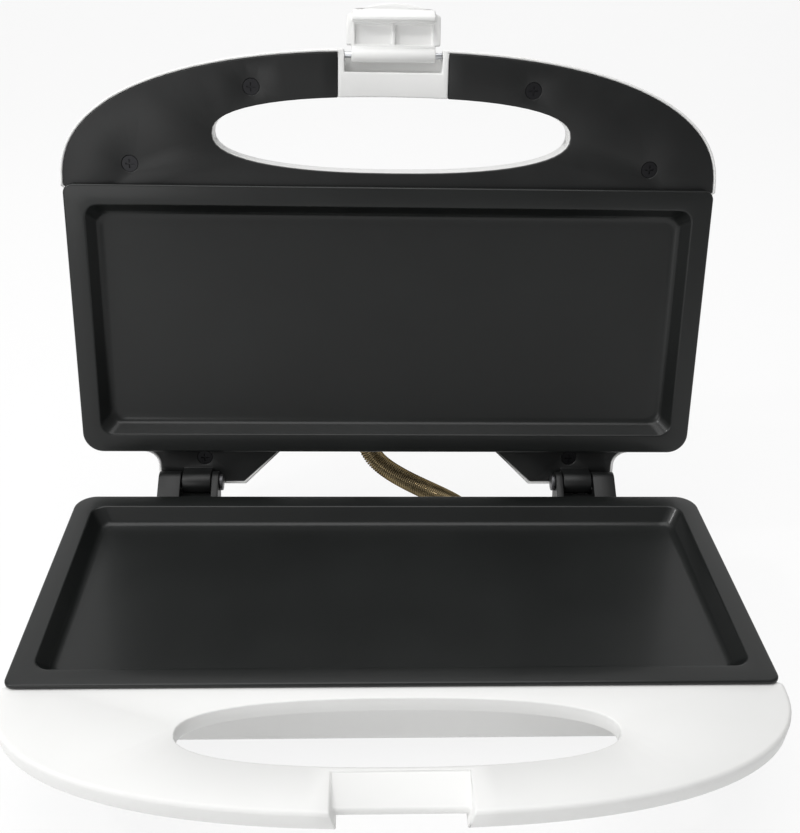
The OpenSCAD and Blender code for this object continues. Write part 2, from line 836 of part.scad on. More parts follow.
// Conduit: its two collars, its wound wire and the sleeve inside it
conduit_z = -10.5;
conduit_lid_z = -21;
collar_r = 6;
collar_l = 7;
coil_r = (conduit_d - conduit_wire) / 2;
sleeve_r = coil_r - conduit_wire / 2 - 0.45;
conduit_lead = 8;
conduit_pull = [21, 24];
module conduit_collar() {
    difference() {
        union() {
            translate([0, -collar_l / 2, 0]) rod_y(collar_r, collar_l);
            translate([0, seat_gap, 0]) rod_y(collar_r + 1.3, 1.6);
            translate([0, -shell_wall - 1.2 - seat_gap - gap, 0]) rod_y(collar_r + 0.5, 1.2);
        }
        translate([0, -collar_l, 0]) rod_y(conduit_d / 2 + gap, 2 * collar_l);
    }
}
module conduit_base_collar() {
    color(brass)
        on_base()
            on_back_wall(base_depth, conduit_base_x, conduit_z) conduit_collar();
}

// The lid's half frame to the base's, for a point and for a direction
function opened_turn(p) = [p[0],
    p[1] * cos(open_angle) - p[2] * sin(open_angle),
    -p[1] * sin(open_angle) - p[2] * cos(open_angle)];
function opened_point(p) = [0, hinge_y, -hinge_drop]
    + opened_turn([p[0], p[1] - hinge_y, p[2] - lid_axis_z]);

// The conduit's middle line: straight out of one wall, a curve, straight into the other
conduit_sunk = 2;
dir_a = back_normal(base_depth);
dir_b = opened_turn(back_normal(lid_depth));
conduit_a = [conduit_base_x, housing_back(base_depth, conduit_z), conduit_z] - conduit_sunk * dir_a;
conduit_b = opened_point([-conduit_lid_x, housing_back(lid_depth, conduit_lid_z), conduit_lid_z])
    - conduit_sunk * dir_b;
curve_a = conduit_a + conduit_lead * dir_a;
curve_b = conduit_b + conduit_lead * dir_b;
function bezier(t) = pow(1 - t, 3) * curve_a
    + 3 * pow(1 - t, 2) * t * (curve_a + conduit_pull[0] * dir_a)
    + 3 * (1 - t) * t * t * (curve_b + conduit_pull[1] * dir_b)
    + t * t * t * curve_b;
curve_steps = 96;
path = concat([conduit_a], [for (i = [0:curve_steps]) bezier(i / curve_steps)], [conduit_b]);
function lengths(i) = i == 0 ? [0] :
    let (before = lengths(i - 1)) concat(before, [before[i - 1] + norm(path[i] - path[i - 1])]);
path_s = lengths(len(path) - 1);
path_l = path_s[len(path_s) - 1];
tables = [for (axis = [0:2]) [for (i = [0:len(path) - 1]) [path_s[i], path[i][axis]]]];
function on_path(s) = [for (axis = [0:2]) lookup(s, tables[axis])];
function unit(v) = v / norm(v);
function path_dir(s) = unit(on_path(min(s + 1, path_l)) - on_path(max(s - 1, 0)));
side_ref = [0.5, 0.3, -0.8];
function path_side(s) = unit(cross(path_dir(s), side_ref));
function path_up(s) = cross(path_dir(s), path_side(s));
function around(s, angle) = cos(angle) * path_side(s) + sin(angle) * path_up(s);

// Rings of a tube, and its faces as triangles
rings_per_turn = 8;
coil_rings = floor(path_l / conduit_pitch * rings_per_turn);
function coil_angle(i) = 360 * i / rings_per_turn;
function coil_s(i) = path_l * i / coil_rings;
function coil_point(i) = on_path(coil_s(i)) + coil_r * around(coil_s(i), coil_angle(i));
function tube_faces(rings, sides) = concat(
    [for (i = [1:sides - 2]) [0, i, i + 1]],
    [for (i = [1:sides - 2]) let (k = rings * sides) [k, k + i + 1, k + i]],
    [for (i = [0:rings - 1], j = [0:sides - 1]) let (a = i * sides, n = (j + 1) % sides)
        [a + j, a + sides + n, a + n]],
    [for (i = [0:rings - 1], j = [0:sides - 1]) let (a = i * sides, n = (j + 1) % sides)
        [a + j, a + sides + j, a + sides + n]]);
module conduit_spring() {
    points = [for (i = [0:coil_rings], j = [0:wire_sides - 1])
        let (s = coil_s(i), out = around(s, coil_angle(i)), a = 360 * j / wire_sides)
        coil_point(i) + conduit_wire / 2 * (cos(a) * out + sin(a) * path_dir(s))];
    color(brass)
        on_base() polyhedron(points = points, faces = tube_faces(coil_rings, wire_sides));
}
// Least gap of the wire to its next turn, measured from its points
coil_gap = min([for (i = [0:coil_rings - rings_per_turn - 2], k = [-2:2])
    norm(coil_point(i + rings_per_turn + k) - coil_point(i))]) - conduit_wire;
echo("least gap between turns", coil_gap);

sleeve_sides = 8;
sleeve_rings = 28;
module conduit_liner() {
    color(rubber)
        on_base()
            tube([for (i = [0:sleeve_rings]) on_path(0.5 + (path_l - 1) * i / sleeve_rings)],
                sleeve_r, sleeve_sides);
}

// Lid: the white shell's handle runs back into the housing
bridge_z = -20;
bridge_half = plate_w / 2 - 23;
bridge_y = [6, 30];
cover_z = -plate_edge - cover_t;
lid_top = -plate_edge - 0.05;
grip_wall = 2.2;
module bridge_block(z, inset) {
    translate([-bridge_half + inset, bridge_y[0] + inset, z])
        cube([2 * (bridge_half - inset), bridge_y[1] - bridge_y[0] - 2 * inset, thin]);
}
module lid_handle_form() {
    hull() {
        handle_levels([[lid_top - thin, 0], [-6.5, 0.2], [-9, 1.6], [-10.2, 4]], front_y + 2);
        bridge_block(bridge_z, 0);
    }
}
module lid_handle_hollow() {
    hull() {
        handle_levels([[cut, shell_wall], [-7.2, shell_wall + 0.5], [-8, shell_wall + 2.2]], front_y + 2);
        bridge_block(bridge_z + shell_wall, 1.5);
    }
}

// Arms that carry the lid's knuckles, their outline on the meeting face
arm_in = [42.5, 57];
arm_out = 89;
arm_fillet = 6.5;
arm_end = hinge_y + 1.5;
module arm_outline(grow) {
    polygon(concat(
        [[arm_in[0] - 5 - grow, back_y - 4], [arm_in[0] - grow * 0.4, plate_d + grow * 0.4],
            [arm_in[1] - grow * 0.6, arm_end + grow], [arm_out + grow, arm_end + grow]],
        [for (i = [0:corner_steps]) let (a = 180 + 90 * i / corner_steps)
            [arm_out + arm_fillet + (arm_fillet - grow) * cos(a),
                plate_d + arm_fillet + (arm_fillet - grow) * sin(a)]],
        [[arm_out + arm_fillet + 3, back_y - 4]]));
}
arm_profile = [[92, lid_top], [arm_end + 3, lid_top], [arm_end + 3, -6.5], [arm_end - 1, -11],
    [arm_end - 6, -14], [92, -17]];
module arm_form(inset) {
    intersection() {
        translate([0, 0, -30]) linear_extrude(height = 30 + cut) arm_outline(lip_w - inset);
        translate([(arm_in[0] + arm_out) / 2, 0, 0])
            slab_x(arm_out)
                polygon(arm_profile);
    }
}
module arm_hollow() {
    intersection() {
        translate([0, 0, -30]) linear_extrude(height = 30 + cut) arm_outline(lip_w - shell_wall);
        translate([(arm_in[0] + arm_out) / 2, 0, 0])
            slab_x(arm_out)
                polygon([[back_y + 0.4, cut], [arm_end + lip_w - shell_wall, cut],
                    [arm_end + lip_w - shell_wall, -6.5], [arm_end - 2.5, -9.4],
                    [arm_end - 7, -11.6], [back_y + 0.4, -12.4]]);
    }
}

// Screws of the inner cover, their places and seats
cover_screw_places = [[94, -7], [50, -34], [72, 106]];
cover_screw_r = 1.5;
cover_head_r = 2.8;
cover_head_h = 1.2;
module cover_screw_spots() {
    both_sides()
        for (p = cover_screw_places)
            translate([p[0], p[1], 0]) children();
}

// The plan of the inner cover, grown by a clearance
module cover_outline(grow) {
    polygon(handle_outline(lip_w - grow, front_y + 2));
    polygon(housing_outline(lid_depth, -plate_edge, lip_w - grow));
    for (side = [0, 1])
        mirror([side, 0]) arm_outline(grow);
}

// Place for the latch in the handle's front
pocket_half = latch_w / 2 + 0.7;
pocket_back = latch_y + 5.7;
pocket_floor = -8.4;
lamp_flange_z = -lid_depth + shell_wall + 0.05;
holder_z = -23;
module lid_shell() {
    color(white)
        on_lid()
            difference() {
                union() {
                    housing(lid_depth, lid_crown, 0, lid_top - thin);
                    lid_handle_form();
                    both_sides() arm_form(0);
                }
                difference() {
                    union() {
                        housing(lid_depth, lid_crown, shell_wall, cut);
                        lid_handle_hollow();
                        both_sides() arm_hollow();
                    }
                    grip_prism(-lid_depth, 2 * cut, grip_wall);
                    translate([-lip_half, -handle_reach - cut, -lid_depth])
                        cube([2 * lip_half, handle_reach + cut + grip_front, lid_depth + lid_top]);
                    translate([0, 0, -lid_depth])
                        cover_screw_spots() cylinder(r = 3.6, h = lid_depth + cover_z);
                    translate([0, lamp_y, -lid_depth]) {
                        cylinder(r = 3.4, h = lid_depth + holder_z);
                        cylinder(r = 1.6, h = lid_depth + holder_z + 2.4);
                    }
                }
                grip_prism(-lid_depth - 5, 2 * cut, 0);
                translate([0, 0, cover_z - 0.1])
                    linear_extrude(height = plate_edge + cover_t + 2)
                        difference() {
                            cover_outline(gap);
                            translate([-lip_half, -handle_reach - cut])
                                square([2 * lip_half, handle_reach + cut + grip_front + 0.6]);
                        }
                translate([-pocket_half, -handle_reach - cut, pocket_floor])
                    cube([2 * pocket_half, pocket_back + handle_reach + cut, -pocket_floor + cut]);
                translate([0, latch_y, -latch_up]) rod_x(latch_pin_r + fix_gap, 2 * lip_half + 4);
                cover_screw_spots() translate([0, 0, -9.5]) cylinder(r = cover_screw_r + fix_gap, h = 12);
                for (side = [-1, 1])
                    translate([side * lamp_x, lamp_y, -lid_depth - 5]) cylinder(r = lamp_r + gap, h = 10);
                on_back_wall(lid_depth, -conduit_lid_x, conduit_lid_z) {
                    translate([0, -6, 0]) rod_y(collar_r + gap, 8);
                    translate([0, -6, 0]) rod_y(collar_r + 0.5 + gap, 6 - shell_wall);
                }
            }
}

// Black inner cover: frames the plate, the finger hole and the latch, and carries the knuckles
window_edge = [7.2, 6.6];
module lid_inner_cover() {
    color(black)
        on_lid()
            difference() {
                union() {
                    translate([0, 0, cover_z])
                        linear_extrude(height = cover_t)
                            difference() {
                                cover_outline(0);
                                polygon(grip_outline(0));
                                polygon(round_rect(plate_w / 2 - window_edge[0], window_edge[1],
                                    plate_d - window_edge[1], 6, 6));
                                translate([-lip_half - gap, -handle_reach - cut])
                                    square([2 * (lip_half + gap), handle_reach + cut + grip_front + 0.8]);
                            }
                    both_sides()
                        translate([knuckle_x + knuckle_w / 2, 0, 0])
                            slab_x(knuckle_w) {
                                translate([hinge_y, lid_axis_z]) circle(r = knuckle_r);
                                translate([hinge_y - knuckle_r, -plate_edge - thin])
                                    square([knuckle_r + 1.5, plate_edge + lid_axis_z]);
                            }
                }
                translate([0, hinge_y, lid_axis_z]) rod_x(hinge_pin_r + run_gap + 0.01, plate_w);
                cover_screw_spots() {
                    translate([0, 0, -plate_edge - cover_head_h]) cylinder(r = cover_head_r + 0.1, h = 8);
                    translate([0, 0, cover_z - cut]) cylinder(r = cover_screw_r + gap, h = 8);
                }
            }
}

module upper_plate() {
    color(coating) on_lid() cooking_plate();
}

module upper_element() {
    color(dark_steel) on_lid() element();
}

module upper_element_seals() {
    color(ceramic) on_lid() element_seals();
}

module upper_element_pins() {
    color(steel) on_lid() element_pins();
}

// Deep tray that clamps the upper plate to the inner cover
clamp_half = [plate_w / 2 - 15, plate_w / 2 - 8];
clamp_y = [14.4, plate_d - 14.4];
wire_hole_x = -plate_w / 2 + 22;
clamp_grow = 6;
flange_w = 3;
module upper_reflector() {
    half = clamp_half[1] - 0.1;
    y0 = clamp_y[0] - clamp_grow + 0.1;
    y1 = clamp_y[1] + clamp_grow - 0.1;
    color(steel)
        on_lid() {
            tray(post_end, cover_z, clamp_half[0], clamp_half[1], clamp_y[0], clamp_y[1], clamp_grow)
                translate([wire_hole_x - 4, low_y + 8, post_end - cut]) cube([8, 2 * element_half - 16, 4]);
            translate([0, 0, cover_z - sheet_t])
                linear_extrude(height = sheet_t)
                    difference() {
                        polygon(round_rect(half + flange_w, y0 - flange_w, y1 + flange_w, 8, 8));
                        polygon(round_rect(half - sheet_t, y0 + sheet_t, y1 - sheet_t, 5.4, 5.4));
                    }
        }
}

module upper_plate_screws() {
    color(steel)
        on_lid()
            both_sides()
                for (y = boss_y)
                    translate([boss_x, y, post_end]) screw(screw_r, 3.6, 2.4, sheet_t + 6);
}

module cover_screws() {
    color(dark_steel)
        on_lid()
            cover_screw_spots()
                translate([0, 0, -plate_edge - cover_head_h])
                    mirror([0, 0, 1]) screw(cover_screw_r, cover_head_r, 1, 5);
}

// Indicator lamps in the lid's top
module lamp_lens() {
    translate([0, lamp_y, -lamp_top]) cylinder(r = lamp_r, h = lamp_top + lamp_flange_z + 0.6);
    translate([0, lamp_y, lamp_flange_z]) cylinder(r = lamp_r + 1.4, h = 1.2);
}
module lamp_lens_red() {
    color([0.75, 0.06, 0.05]) on_lid() translate([-lamp_x, 0, 0]) lamp_lens();
}
module lamp_lens_green() {
    color([0.1, 0.5, 0.16]) on_lid() translate([lamp_x, 0, 0]) lamp_lens();
}

bulb_r = 3;
module lamp_holder() {
    color(black)
        on_lid()
            translate([0, lamp_y, 0])
                difference() {
                    union() {
                        translate([-lamp_x - 5.4, -5.4, holder_z + 0.02])
                            cube([2 * lamp_x + 10.8, 10.8, 1.6]);
                        for (side = [-1, 1])
                            translate([side * lamp_x, 0, lamp_flange_z + 1.4])
                                cylinder(r = 5, h = holder_z - lamp_flange_z);
                    }
                    for (side = [-1, 1])
                        translate([side * lamp_x, 0, -lid_depth]) cylinder(r = bulb_r + 0.1, h = lid_depth);
                    translate([0, 0, -lid_depth]) cylinder(r = 1.6 + fix_gap, h = lid_depth);
                }
}

module neon_lamps() {
    color([0.95, 0.75, 0.5])
        on_lid()
            for (side = [-1, 1])
                translate([side * lamp_x, lamp_y, lamp_flange_z + 1.8]) {
                    translate([0, 0, bulb_r]) sphere(r = bulb_r);
                    translate([0, 0, bulb_r]) cylinder(r = bulb_r, h = 4.2);
                }
}

module conduit_lid_collar() {
    color(brass)
        on_lid()
            on_back_wall(lid_depth, -conduit_lid_x, conduit_lid_z) conduit_collar();
}

lid_wire_z = -24.4;
lid_in_y = back_y - shell_wall - 5;
module lid_wires() {
    color(rubber)
        on_lid() {
            wire([[-conduit_lid_x - 1.4, lid_in_y + 3, conduit_lid_z - 1.4],
                [-conduit_lid_x - 2, lid_in_y - 10, lid_wire_z], [wire_hole_x + 6, low_y + 12, lid_wire_z],
                [wire_hole_x, low_y + 12, -20], [wire_hole_x - 0.5, low_y + 10.6, -16],
                [tab_x + 4, low_y + 1.4, element_z - 2.6],
                [tab_x + 4, low_y, element_z - 1.1]], wire_r);
            wire([[-conduit_lid_x - 1.4, lid_in_y + 3, conduit_lid_z + 1.4],
                [-conduit_lid_x - 4.5, lid_in_y - 3, conduit_lid_z - 0.5],
                [-conduit_lid_x - 8, lid_in_y - 6, lid_wire_z], [wire_hole_x + 6, high_y - 12, lid_wire_z],
                [wire_hole_x, high_y - 12, -20], [wire_hole_x - 0.5, high_y - 10.6, -16],
                [tab_x + 4, high_y - 1.4, element_z - 2.6], [tab_x + 4, high_y, element_z - 1.1]], wire_r);
            for (side = [-1, 1])
                wire([[-conduit_lid_x + 1.2, lid_in_y + 1, conduit_lid_z + side],
                    [side * 2, lid_in_y - 16, lid_wire_z], [side * lamp_x, lamp_y + 14, lid_wire_z + 1.5],
                    [side * lamp_x, lamp_y + bulb_r + 0.22, holder_z + 4]], 0.7);
        }
}

// Latch pin and latch
pin_half = lip_half - 0.3;
module latch_pin() {
    color(steel)
        on_lid()
            translate([0, latch_y, -latch_up]) rod_x(latch_pin_r, 2 * pin_half);
}

barrel_r = 2.4;
root_half = latch_w / 2 - 1.75;
latch_face = 0.3;
tip_side = 2;
hook_out = 3.9;
module latch_outline() {
    half = latch_w / 2;
    top = latch_reach + latch_tip;
    rise = latch_tip - tip_side;
    arc_r = (half * half + rise * rise) / (2 * rise);
    intersection() {
        translate([-half, 3.4]) square([2 * half, top]);
        translate([0, top - arc_r]) circle(r = arc_r, $fn = 180);
    }
    translate([-root_half, 0]) square([2 * root_half, 4]);
}
module latch_form() {
    face = latch_face - latch_t;
    difference() {
        union() {
            rod_x(barrel_r, 2 * root_half);
            translate([0, latch_face, 0])
                rotate([90, 0, 0]) linear_extrude(height = latch_t) latch_outline();
            slab_x(latch_w - 4)
                polygon([[face + 1, latch_reach], [hook_out, latch_reach],
                    [hook_out, latch_reach + 1.4], [latch_face - 0.5, latch_reach + 4.4]]);
        }
        rod_x(latch_pin_r + run_gap, latch_w + 4);
        for (side = [-1, 1])
            translate([side > 0 ? 0.6 : -root_half + 1.2, latch_face - 1.3, 3.6])
                cube([root_half - 1.8, 4, latch_reach - 3.6 - 0.8]);
    }
}
module latch() {
    color(white)
        on_lid()
            translate([0, latch_y, -latch_up])
                rotate([latch_angle, 0, 0]) latch_form();
}

base_shell();
lower_plate();
lower_element();
lower_element_seals();
lower_element_pins();
lower_reflector();
lower_plate_screws();
thermostat();
thermal_fuse();
fuse_clip();
terminal_block();
cord_inlet();
base_wires();
hinge_bracket_left();
hinge_bracket_right();
hinge_bracket_screws();
hinge_pin_left();
hinge_pin_right();
rubber_feet();
conduit_base_collar();
conduit_spring();
conduit_liner();
lid_shell();
lid_inner_cover();
upper_plate();
upper_element();
upper_element_seals();
upper_element_pins();
upper_reflector();
upper_plate_screws();
cover_screws();
lamp_lens_red();
lamp_lens_green();
lamp_holder();
neon_lamps();
conduit_lid_collar();
lid_wires();
latch_pin();
latch();
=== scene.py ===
# %% [markdown]
# # Sandwich toaster
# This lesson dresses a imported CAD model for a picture. The toaster stands open on a table:
# a base with a flat cooking plate, and a lid with a second plate, swung back on two hinges.
# The solids arrive as a frame of bodies that move on joints. They could be rendered as they
# are, but real mouldings have soft edges and real coatings have a grain, so each visible
# solid gets either a better material or a finer mesh that rides on the same body.

# %% Load the frame
import json
import math

import bmesh
import bpy
import numpy as np
from mathutils import Matrix, Vector

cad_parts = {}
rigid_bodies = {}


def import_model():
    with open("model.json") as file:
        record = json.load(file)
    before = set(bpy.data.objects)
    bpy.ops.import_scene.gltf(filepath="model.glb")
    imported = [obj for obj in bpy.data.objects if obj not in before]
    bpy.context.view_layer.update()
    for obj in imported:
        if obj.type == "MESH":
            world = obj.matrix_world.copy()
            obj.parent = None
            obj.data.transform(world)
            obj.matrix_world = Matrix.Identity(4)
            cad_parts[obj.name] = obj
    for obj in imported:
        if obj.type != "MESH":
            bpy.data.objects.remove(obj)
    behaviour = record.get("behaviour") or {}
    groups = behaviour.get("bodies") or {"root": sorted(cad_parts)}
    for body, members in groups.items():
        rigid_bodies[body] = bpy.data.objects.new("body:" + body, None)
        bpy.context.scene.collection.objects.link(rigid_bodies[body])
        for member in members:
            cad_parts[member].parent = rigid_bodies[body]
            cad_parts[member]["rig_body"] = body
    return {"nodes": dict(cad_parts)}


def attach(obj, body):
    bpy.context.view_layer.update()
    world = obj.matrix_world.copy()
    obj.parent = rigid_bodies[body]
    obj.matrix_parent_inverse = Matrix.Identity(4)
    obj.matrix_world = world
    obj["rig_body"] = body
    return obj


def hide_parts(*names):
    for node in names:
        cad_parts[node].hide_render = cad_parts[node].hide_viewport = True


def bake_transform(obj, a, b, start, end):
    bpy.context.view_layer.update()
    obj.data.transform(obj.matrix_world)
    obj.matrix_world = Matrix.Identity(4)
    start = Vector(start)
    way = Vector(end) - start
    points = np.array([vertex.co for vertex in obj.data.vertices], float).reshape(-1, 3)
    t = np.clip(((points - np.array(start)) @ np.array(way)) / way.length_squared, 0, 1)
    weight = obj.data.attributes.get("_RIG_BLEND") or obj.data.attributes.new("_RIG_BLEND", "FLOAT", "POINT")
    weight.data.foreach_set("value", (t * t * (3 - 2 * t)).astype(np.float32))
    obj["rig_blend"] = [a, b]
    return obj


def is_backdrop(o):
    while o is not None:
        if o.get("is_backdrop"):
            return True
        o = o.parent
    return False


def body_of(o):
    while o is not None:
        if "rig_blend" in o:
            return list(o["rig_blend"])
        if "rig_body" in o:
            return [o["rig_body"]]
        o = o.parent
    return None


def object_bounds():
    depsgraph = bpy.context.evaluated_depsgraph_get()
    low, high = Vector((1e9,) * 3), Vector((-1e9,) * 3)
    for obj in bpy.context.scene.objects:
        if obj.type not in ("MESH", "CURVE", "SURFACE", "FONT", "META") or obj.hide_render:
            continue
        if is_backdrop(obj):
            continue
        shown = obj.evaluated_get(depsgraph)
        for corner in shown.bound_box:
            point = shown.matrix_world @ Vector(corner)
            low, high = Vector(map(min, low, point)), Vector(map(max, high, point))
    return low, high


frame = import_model()
cad_low, cad_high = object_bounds()
nodes = frame["nodes"]
cad_size = [round(1000 * (b - a), 1) for a, b in zip(cad_low, cad_high)]
print(len(nodes), "solids in a box of", cad_size, "mm")

# %% [markdown]
# ## Sizes
# The base and the lid are near twins: each is a housing with a flat plate, a handle in front
# and half of the hinge behind. Their sizes could be read off the solids again and again, but
# the finer meshes follow the same few numbers as the CAD, so these are written once. Where
# the opened lid reaches furthest back decides where the middle of the table lies.

# %% Sizes in millimetres
PLATE_W, PLATE_D, PLATE_EDGE = 236.0, 102.5, 3.0
THIN_EDGE = 1.6  # the base plate's edge as the photograph shows it
BASE_DEPTH, LID_DEPTH, LID_CROWN = 34.0, 30.0, 2.0
FOOT_H = 6.0
RIM_Z = BASE_DEPTH + FOOT_H  # height of the base plate's rim above the table
OVERHANG = 1.0
BACK_Y, BACK_LEAN = PLATE_D - OVERHANG, 3.0
HANDLE_REACH = 47.6
HINGE_Y, HINGE_DROP, MEET_GAP = PLATE_D + 12.0, 1.5, 0.2
LID_AXIS = HINGE_DROP + MEET_GAP
OPEN = math.radians(100)
LAMP_X, LAMP_Y, LAMP_R, LAMP_PROUD = 9.0, 29.0, 4.0, 0.6
LAMP_TOP = LID_DEPTH + LID_CROWN + LAMP_PROUD

OPEN_BACK = (HINGE_Y + (LAMP_TOP + LID_AXIS) * math.sin(OPEN)
             - (HINGE_Y - LAMP_Y + LAMP_R) * math.cos(OPEN))
MID_Y = (OPEN_BACK - HANDLE_REACH) / 2
print("the table's origin lies", round(MID_Y, 2), "mm behind the plate's front edge")

# %% [markdown]
# ## Two half frames
# Both halves are drawn the same way: x to the right, y from the plate's front edge to its
# back edge, z up out of the cooking face, in millimetres. One matrix then puts a drawing on
# the base, and another turns it over and swings it up about the hinge axis for the lid.
# Drawing each half in its place would need every number twice.

# %% Matrices of the two halves
ON_BASE = Matrix.Scale(0.001, 4) @ Matrix.Translation((0, -MID_Y, RIM_Z))
ON_LID = (ON_BASE @ Matrix.Translation((0, HINGE_Y, -HINGE_DROP))
          @ Matrix.Rotation(-OPEN, 4, "X")
          @ Matrix.Translation((0, -HINGE_Y, LID_AXIS))
          @ Matrix.Scale(-1, 4, (0, 0, 1)))
HALVES = {"base": ON_BASE, "lid": ON_LID}
for body, place in HALVES.items():
    print(body, "plate's front edge at", [round(v, 4) for v in place @ Vector((0, 0, 0))])

# %% [markdown]
# ## Camera
# The photograph looks down on the cooking faces from the front, nearly straight on. A camera
# can be placed by eye, but here its angles, place and focal length were fitted so that the
# outlines of both plates, the handles and the latch fall where the photograph has them. Yaw,
# pitch and roll build three axes, and these are the columns of the camera's matrix.

# %% Camera fitted to the outlines
YAW, PITCH, ROLL = (math.radians(a) for a in (2.640, 29.270, 1.481))
CAMERA_MM = Vector((-12.63, -247.10, 231.14))
FOCAL_PX, PICTURE_HIGH_PX, SENSOR_MM = 1088.6, 833, 36

forward = Vector((math.sin(YAW) * math.cos(PITCH),
                  math.cos(YAW) * math.cos(PITCH),
                  -math.sin(PITCH)))
level = Vector((math.cos(YAW), -math.sin(YAW), 0))
upward = level.cross(forward)
right = math.cos(ROLL) * level + math.sin(ROLL) * upward
top = math.cos(ROLL) * upward - math.sin(ROLL) * level

camera = bpy.data.objects.new("camera", bpy.data.cameras.new("camera"))
bpy.context.scene.collection.objects.link(camera)
camera.matrix_world = (Matrix.Translation(ON_BASE @ CAMERA_MM)
                       @ Matrix((right, top, -forward)).transposed().to_4x4())
camera.data.sensor_width = SENSOR_MM
camera.data.lens = FOCAL_PX * SENSOR_MM / PICTURE_HIGH_PX
camera.data.clip_start, camera.data.clip_end = 0.01, 20
bpy.context.scene.camera = camera
print("lens", round(camera.data.lens, 2), "mm on a", SENSOR_MM, "mm sensor")

# %% [markdown]
# ## One recipe for every finish
# No real surface is one flat colour. Each finish here is a Principled shader with two noise
# textures: a wide one that shifts colour and roughness a little, as uneven moulding or
# handling does, and a fine one that lifts a relief too small to model. Image textures would
# need unwrapping and files; noise in object space needs neither and looks the same from
# every side.

# %% A finish from two noises
COAT_ROUGHNESS = 0.15
RAMP_STOPS = (0.3, 0.7)
WIDE_DETAIL, FINE_DETAIL = 4, 3


def finish_of(name, colour, rough, metal=0.0, vary=0.03, spread=0.06, grain=900.0,
              wide_grain=40.0, relief=0.05, depth=0.00005, specular=0.5, coat=0.0,
              rim=(1, 1, 1)):
    """A material whose noises vary colour and roughness and lift a fine relief."""
    m = bpy.data.materials.new(name)
    m.use_nodes = True
    tree = m.node_tree
    shader = tree.nodes["Principled BSDF"]
    shader.inputs["Metallic"].default_value = metal
    shader.inputs["Specular IOR Level"].default_value = specular
    shader.inputs["Specular Tint"].default_value = (*rim, 1)
    shader.inputs["Coat Weight"].default_value = coat
    shader.inputs["Coat Roughness"].default_value = COAT_ROUGHNESS
    where = tree.nodes.new("ShaderNodeTexCoord")
    wide, fine = (tree.nodes.new("ShaderNodeTexNoise") for _ in range(2))
    for noise, scale, detail in ((wide, wide_grain, WIDE_DETAIL), (fine, grain, FINE_DETAIL)):
        noise.inputs["Scale"].default_value = scale
        noise.inputs["Detail"].default_value = detail
        tree.links.new(where.outputs["Object"], noise.inputs["Vector"])
    ramp = tree.nodes.new("ShaderNodeValToRGB")
    for stop, place, tone in zip(ramp.color_ramp.elements, RAMP_STOPS, (1 - vary, 1 + vary)):
        stop.position = place
        stop.color = [min(1, c * tone) for c in colour] + [1]
    tree.links.new(wide.outputs["Fac"], ramp.inputs["Fac"])
    tree.links.new(ramp.outputs["Color"], shader.inputs["Base Color"])
    span = tree.nodes.new("ShaderNodeMapRange")
    span.inputs["To Min"].default_value = rough - spread
    span.inputs["To Max"].default_value = rough + spread
    tree.links.new(wide.outputs["Fac"], span.inputs["Value"])
    tree.links.new(span.outputs["Result"], shader.inputs["Roughness"])
    bump = tree.nodes.new("ShaderNodeBump")
    bump.inputs["Strength"].default_value = relief
    bump.inputs["Distance"].default_value = depth
    tree.links.new(fine.outputs["Fac"], bump.inputs["Height"])
    tree.links.new(bump.outputs["Normal"], shader.inputs["Normal"])
    return m


print("the recipe needs a name, a colour and a roughness; the rest has usual values")

# %% [markdown]
# ## Moulded plastics and rubber
# The housings are white plastic with a soft gloss and the faint orange-peel of a mould. The
# frame round the lid's plate and the hinge brackets are a black, heat-resistant plastic with
# a satin, finely eroded skin, and the feet are matt rubber. Each could have a shader of its
# own, but only colour, grain and roughness differ, so all come from the one recipe.

# %% Plastics and rubber
WHITE = finish_of("white_moulding", (0.80, 0.80, 0.79), 0.36, vary=0.012, grain=1500,
                  relief=0.22)
BLACK = finish_of("black_moulding", (0.0075, 0.008, 0.008), 0.42, vary=0.12, grain=1300,
                  wide_grain=60, relief=0.40, specular=0.36)
RUBBER = finish_of("rubber", (0.012, 0.012, 0.012), 0.70, vary=0.15, relief=0.5)
print("plastics:", WHITE.name, BLACK.name, RUBBER.name)

# %% [markdown]
# ## Non-stick coating
# The plates are cast aluminium under a sprayed dark coating. It is nearly black, satin, and
# slightly pebbled, so big lamps draw broad soft sheens on it. A metal shader would be too
# bright: the coating is what light meets, so it is a dielectric here, with a strong fine
# grain and a wide mottling in its roughness. A thin glossy coat on top keeps the small
# glints of a small lamp, which the satin alone would spread out and lose.

# %% Coating of the plates
COATING = finish_of("non_stick_coating", (0.0075, 0.0085, 0.0082), 0.36, vary=0.16,
                    spread=0.05, grain=2200, wide_grain=25, relief=0.55, specular=0.32,
                    coat=0.15)
print("coating:", COATING.name)

# %% [markdown]
# ## Metals and ceramic
# Pins, screws and sheets are plain metal, the element's sheath is darkened by heat, and the
# conduit is a brass-coloured wire. A bright paint could imitate them, but a metal tints what
# it mirrors, so the shader's Metallic value is 1. The brass's dark colour is partly the wire's
# own tone and partly painted shade, and its dark Specular Tint is painted shade: without it,
# the wire's edges mirror the white room and lose their brown.

# %% Steels, brass and ceramic
STEEL = finish_of("plain_steel", (0.56, 0.57, 0.59), 0.28, metal=1, vary=0.08)
DARK_STEEL = finish_of("darkened_steel", (0.12, 0.12, 0.125), 0.45, metal=1, vary=0.15)
# painted shade: the brass colour is kept dark and its Specular Tint near black, so the wire mirrors the room
# darker than it is lit
SHADED_BRASS = finish_of("wound_brass_painted_shade", (0.24, 0.19, 0.11), 0.17, metal=1, vary=0.25, grain=3000,
                  wide_grain=150, rim=(0.06, 0.045, 0.025))
BLACKENED = finish_of("blackened_steel", (0.03, 0.03, 0.032), 0.38, metal=1, vary=0.15)
CERAMIC = finish_of("ceramic", (0.70, 0.66, 0.57), 0.30, vary=0.04)
print("metals:", STEEL.name, DARK_STEEL.name, SHADED_BRASS.name, BLACKENED.name)

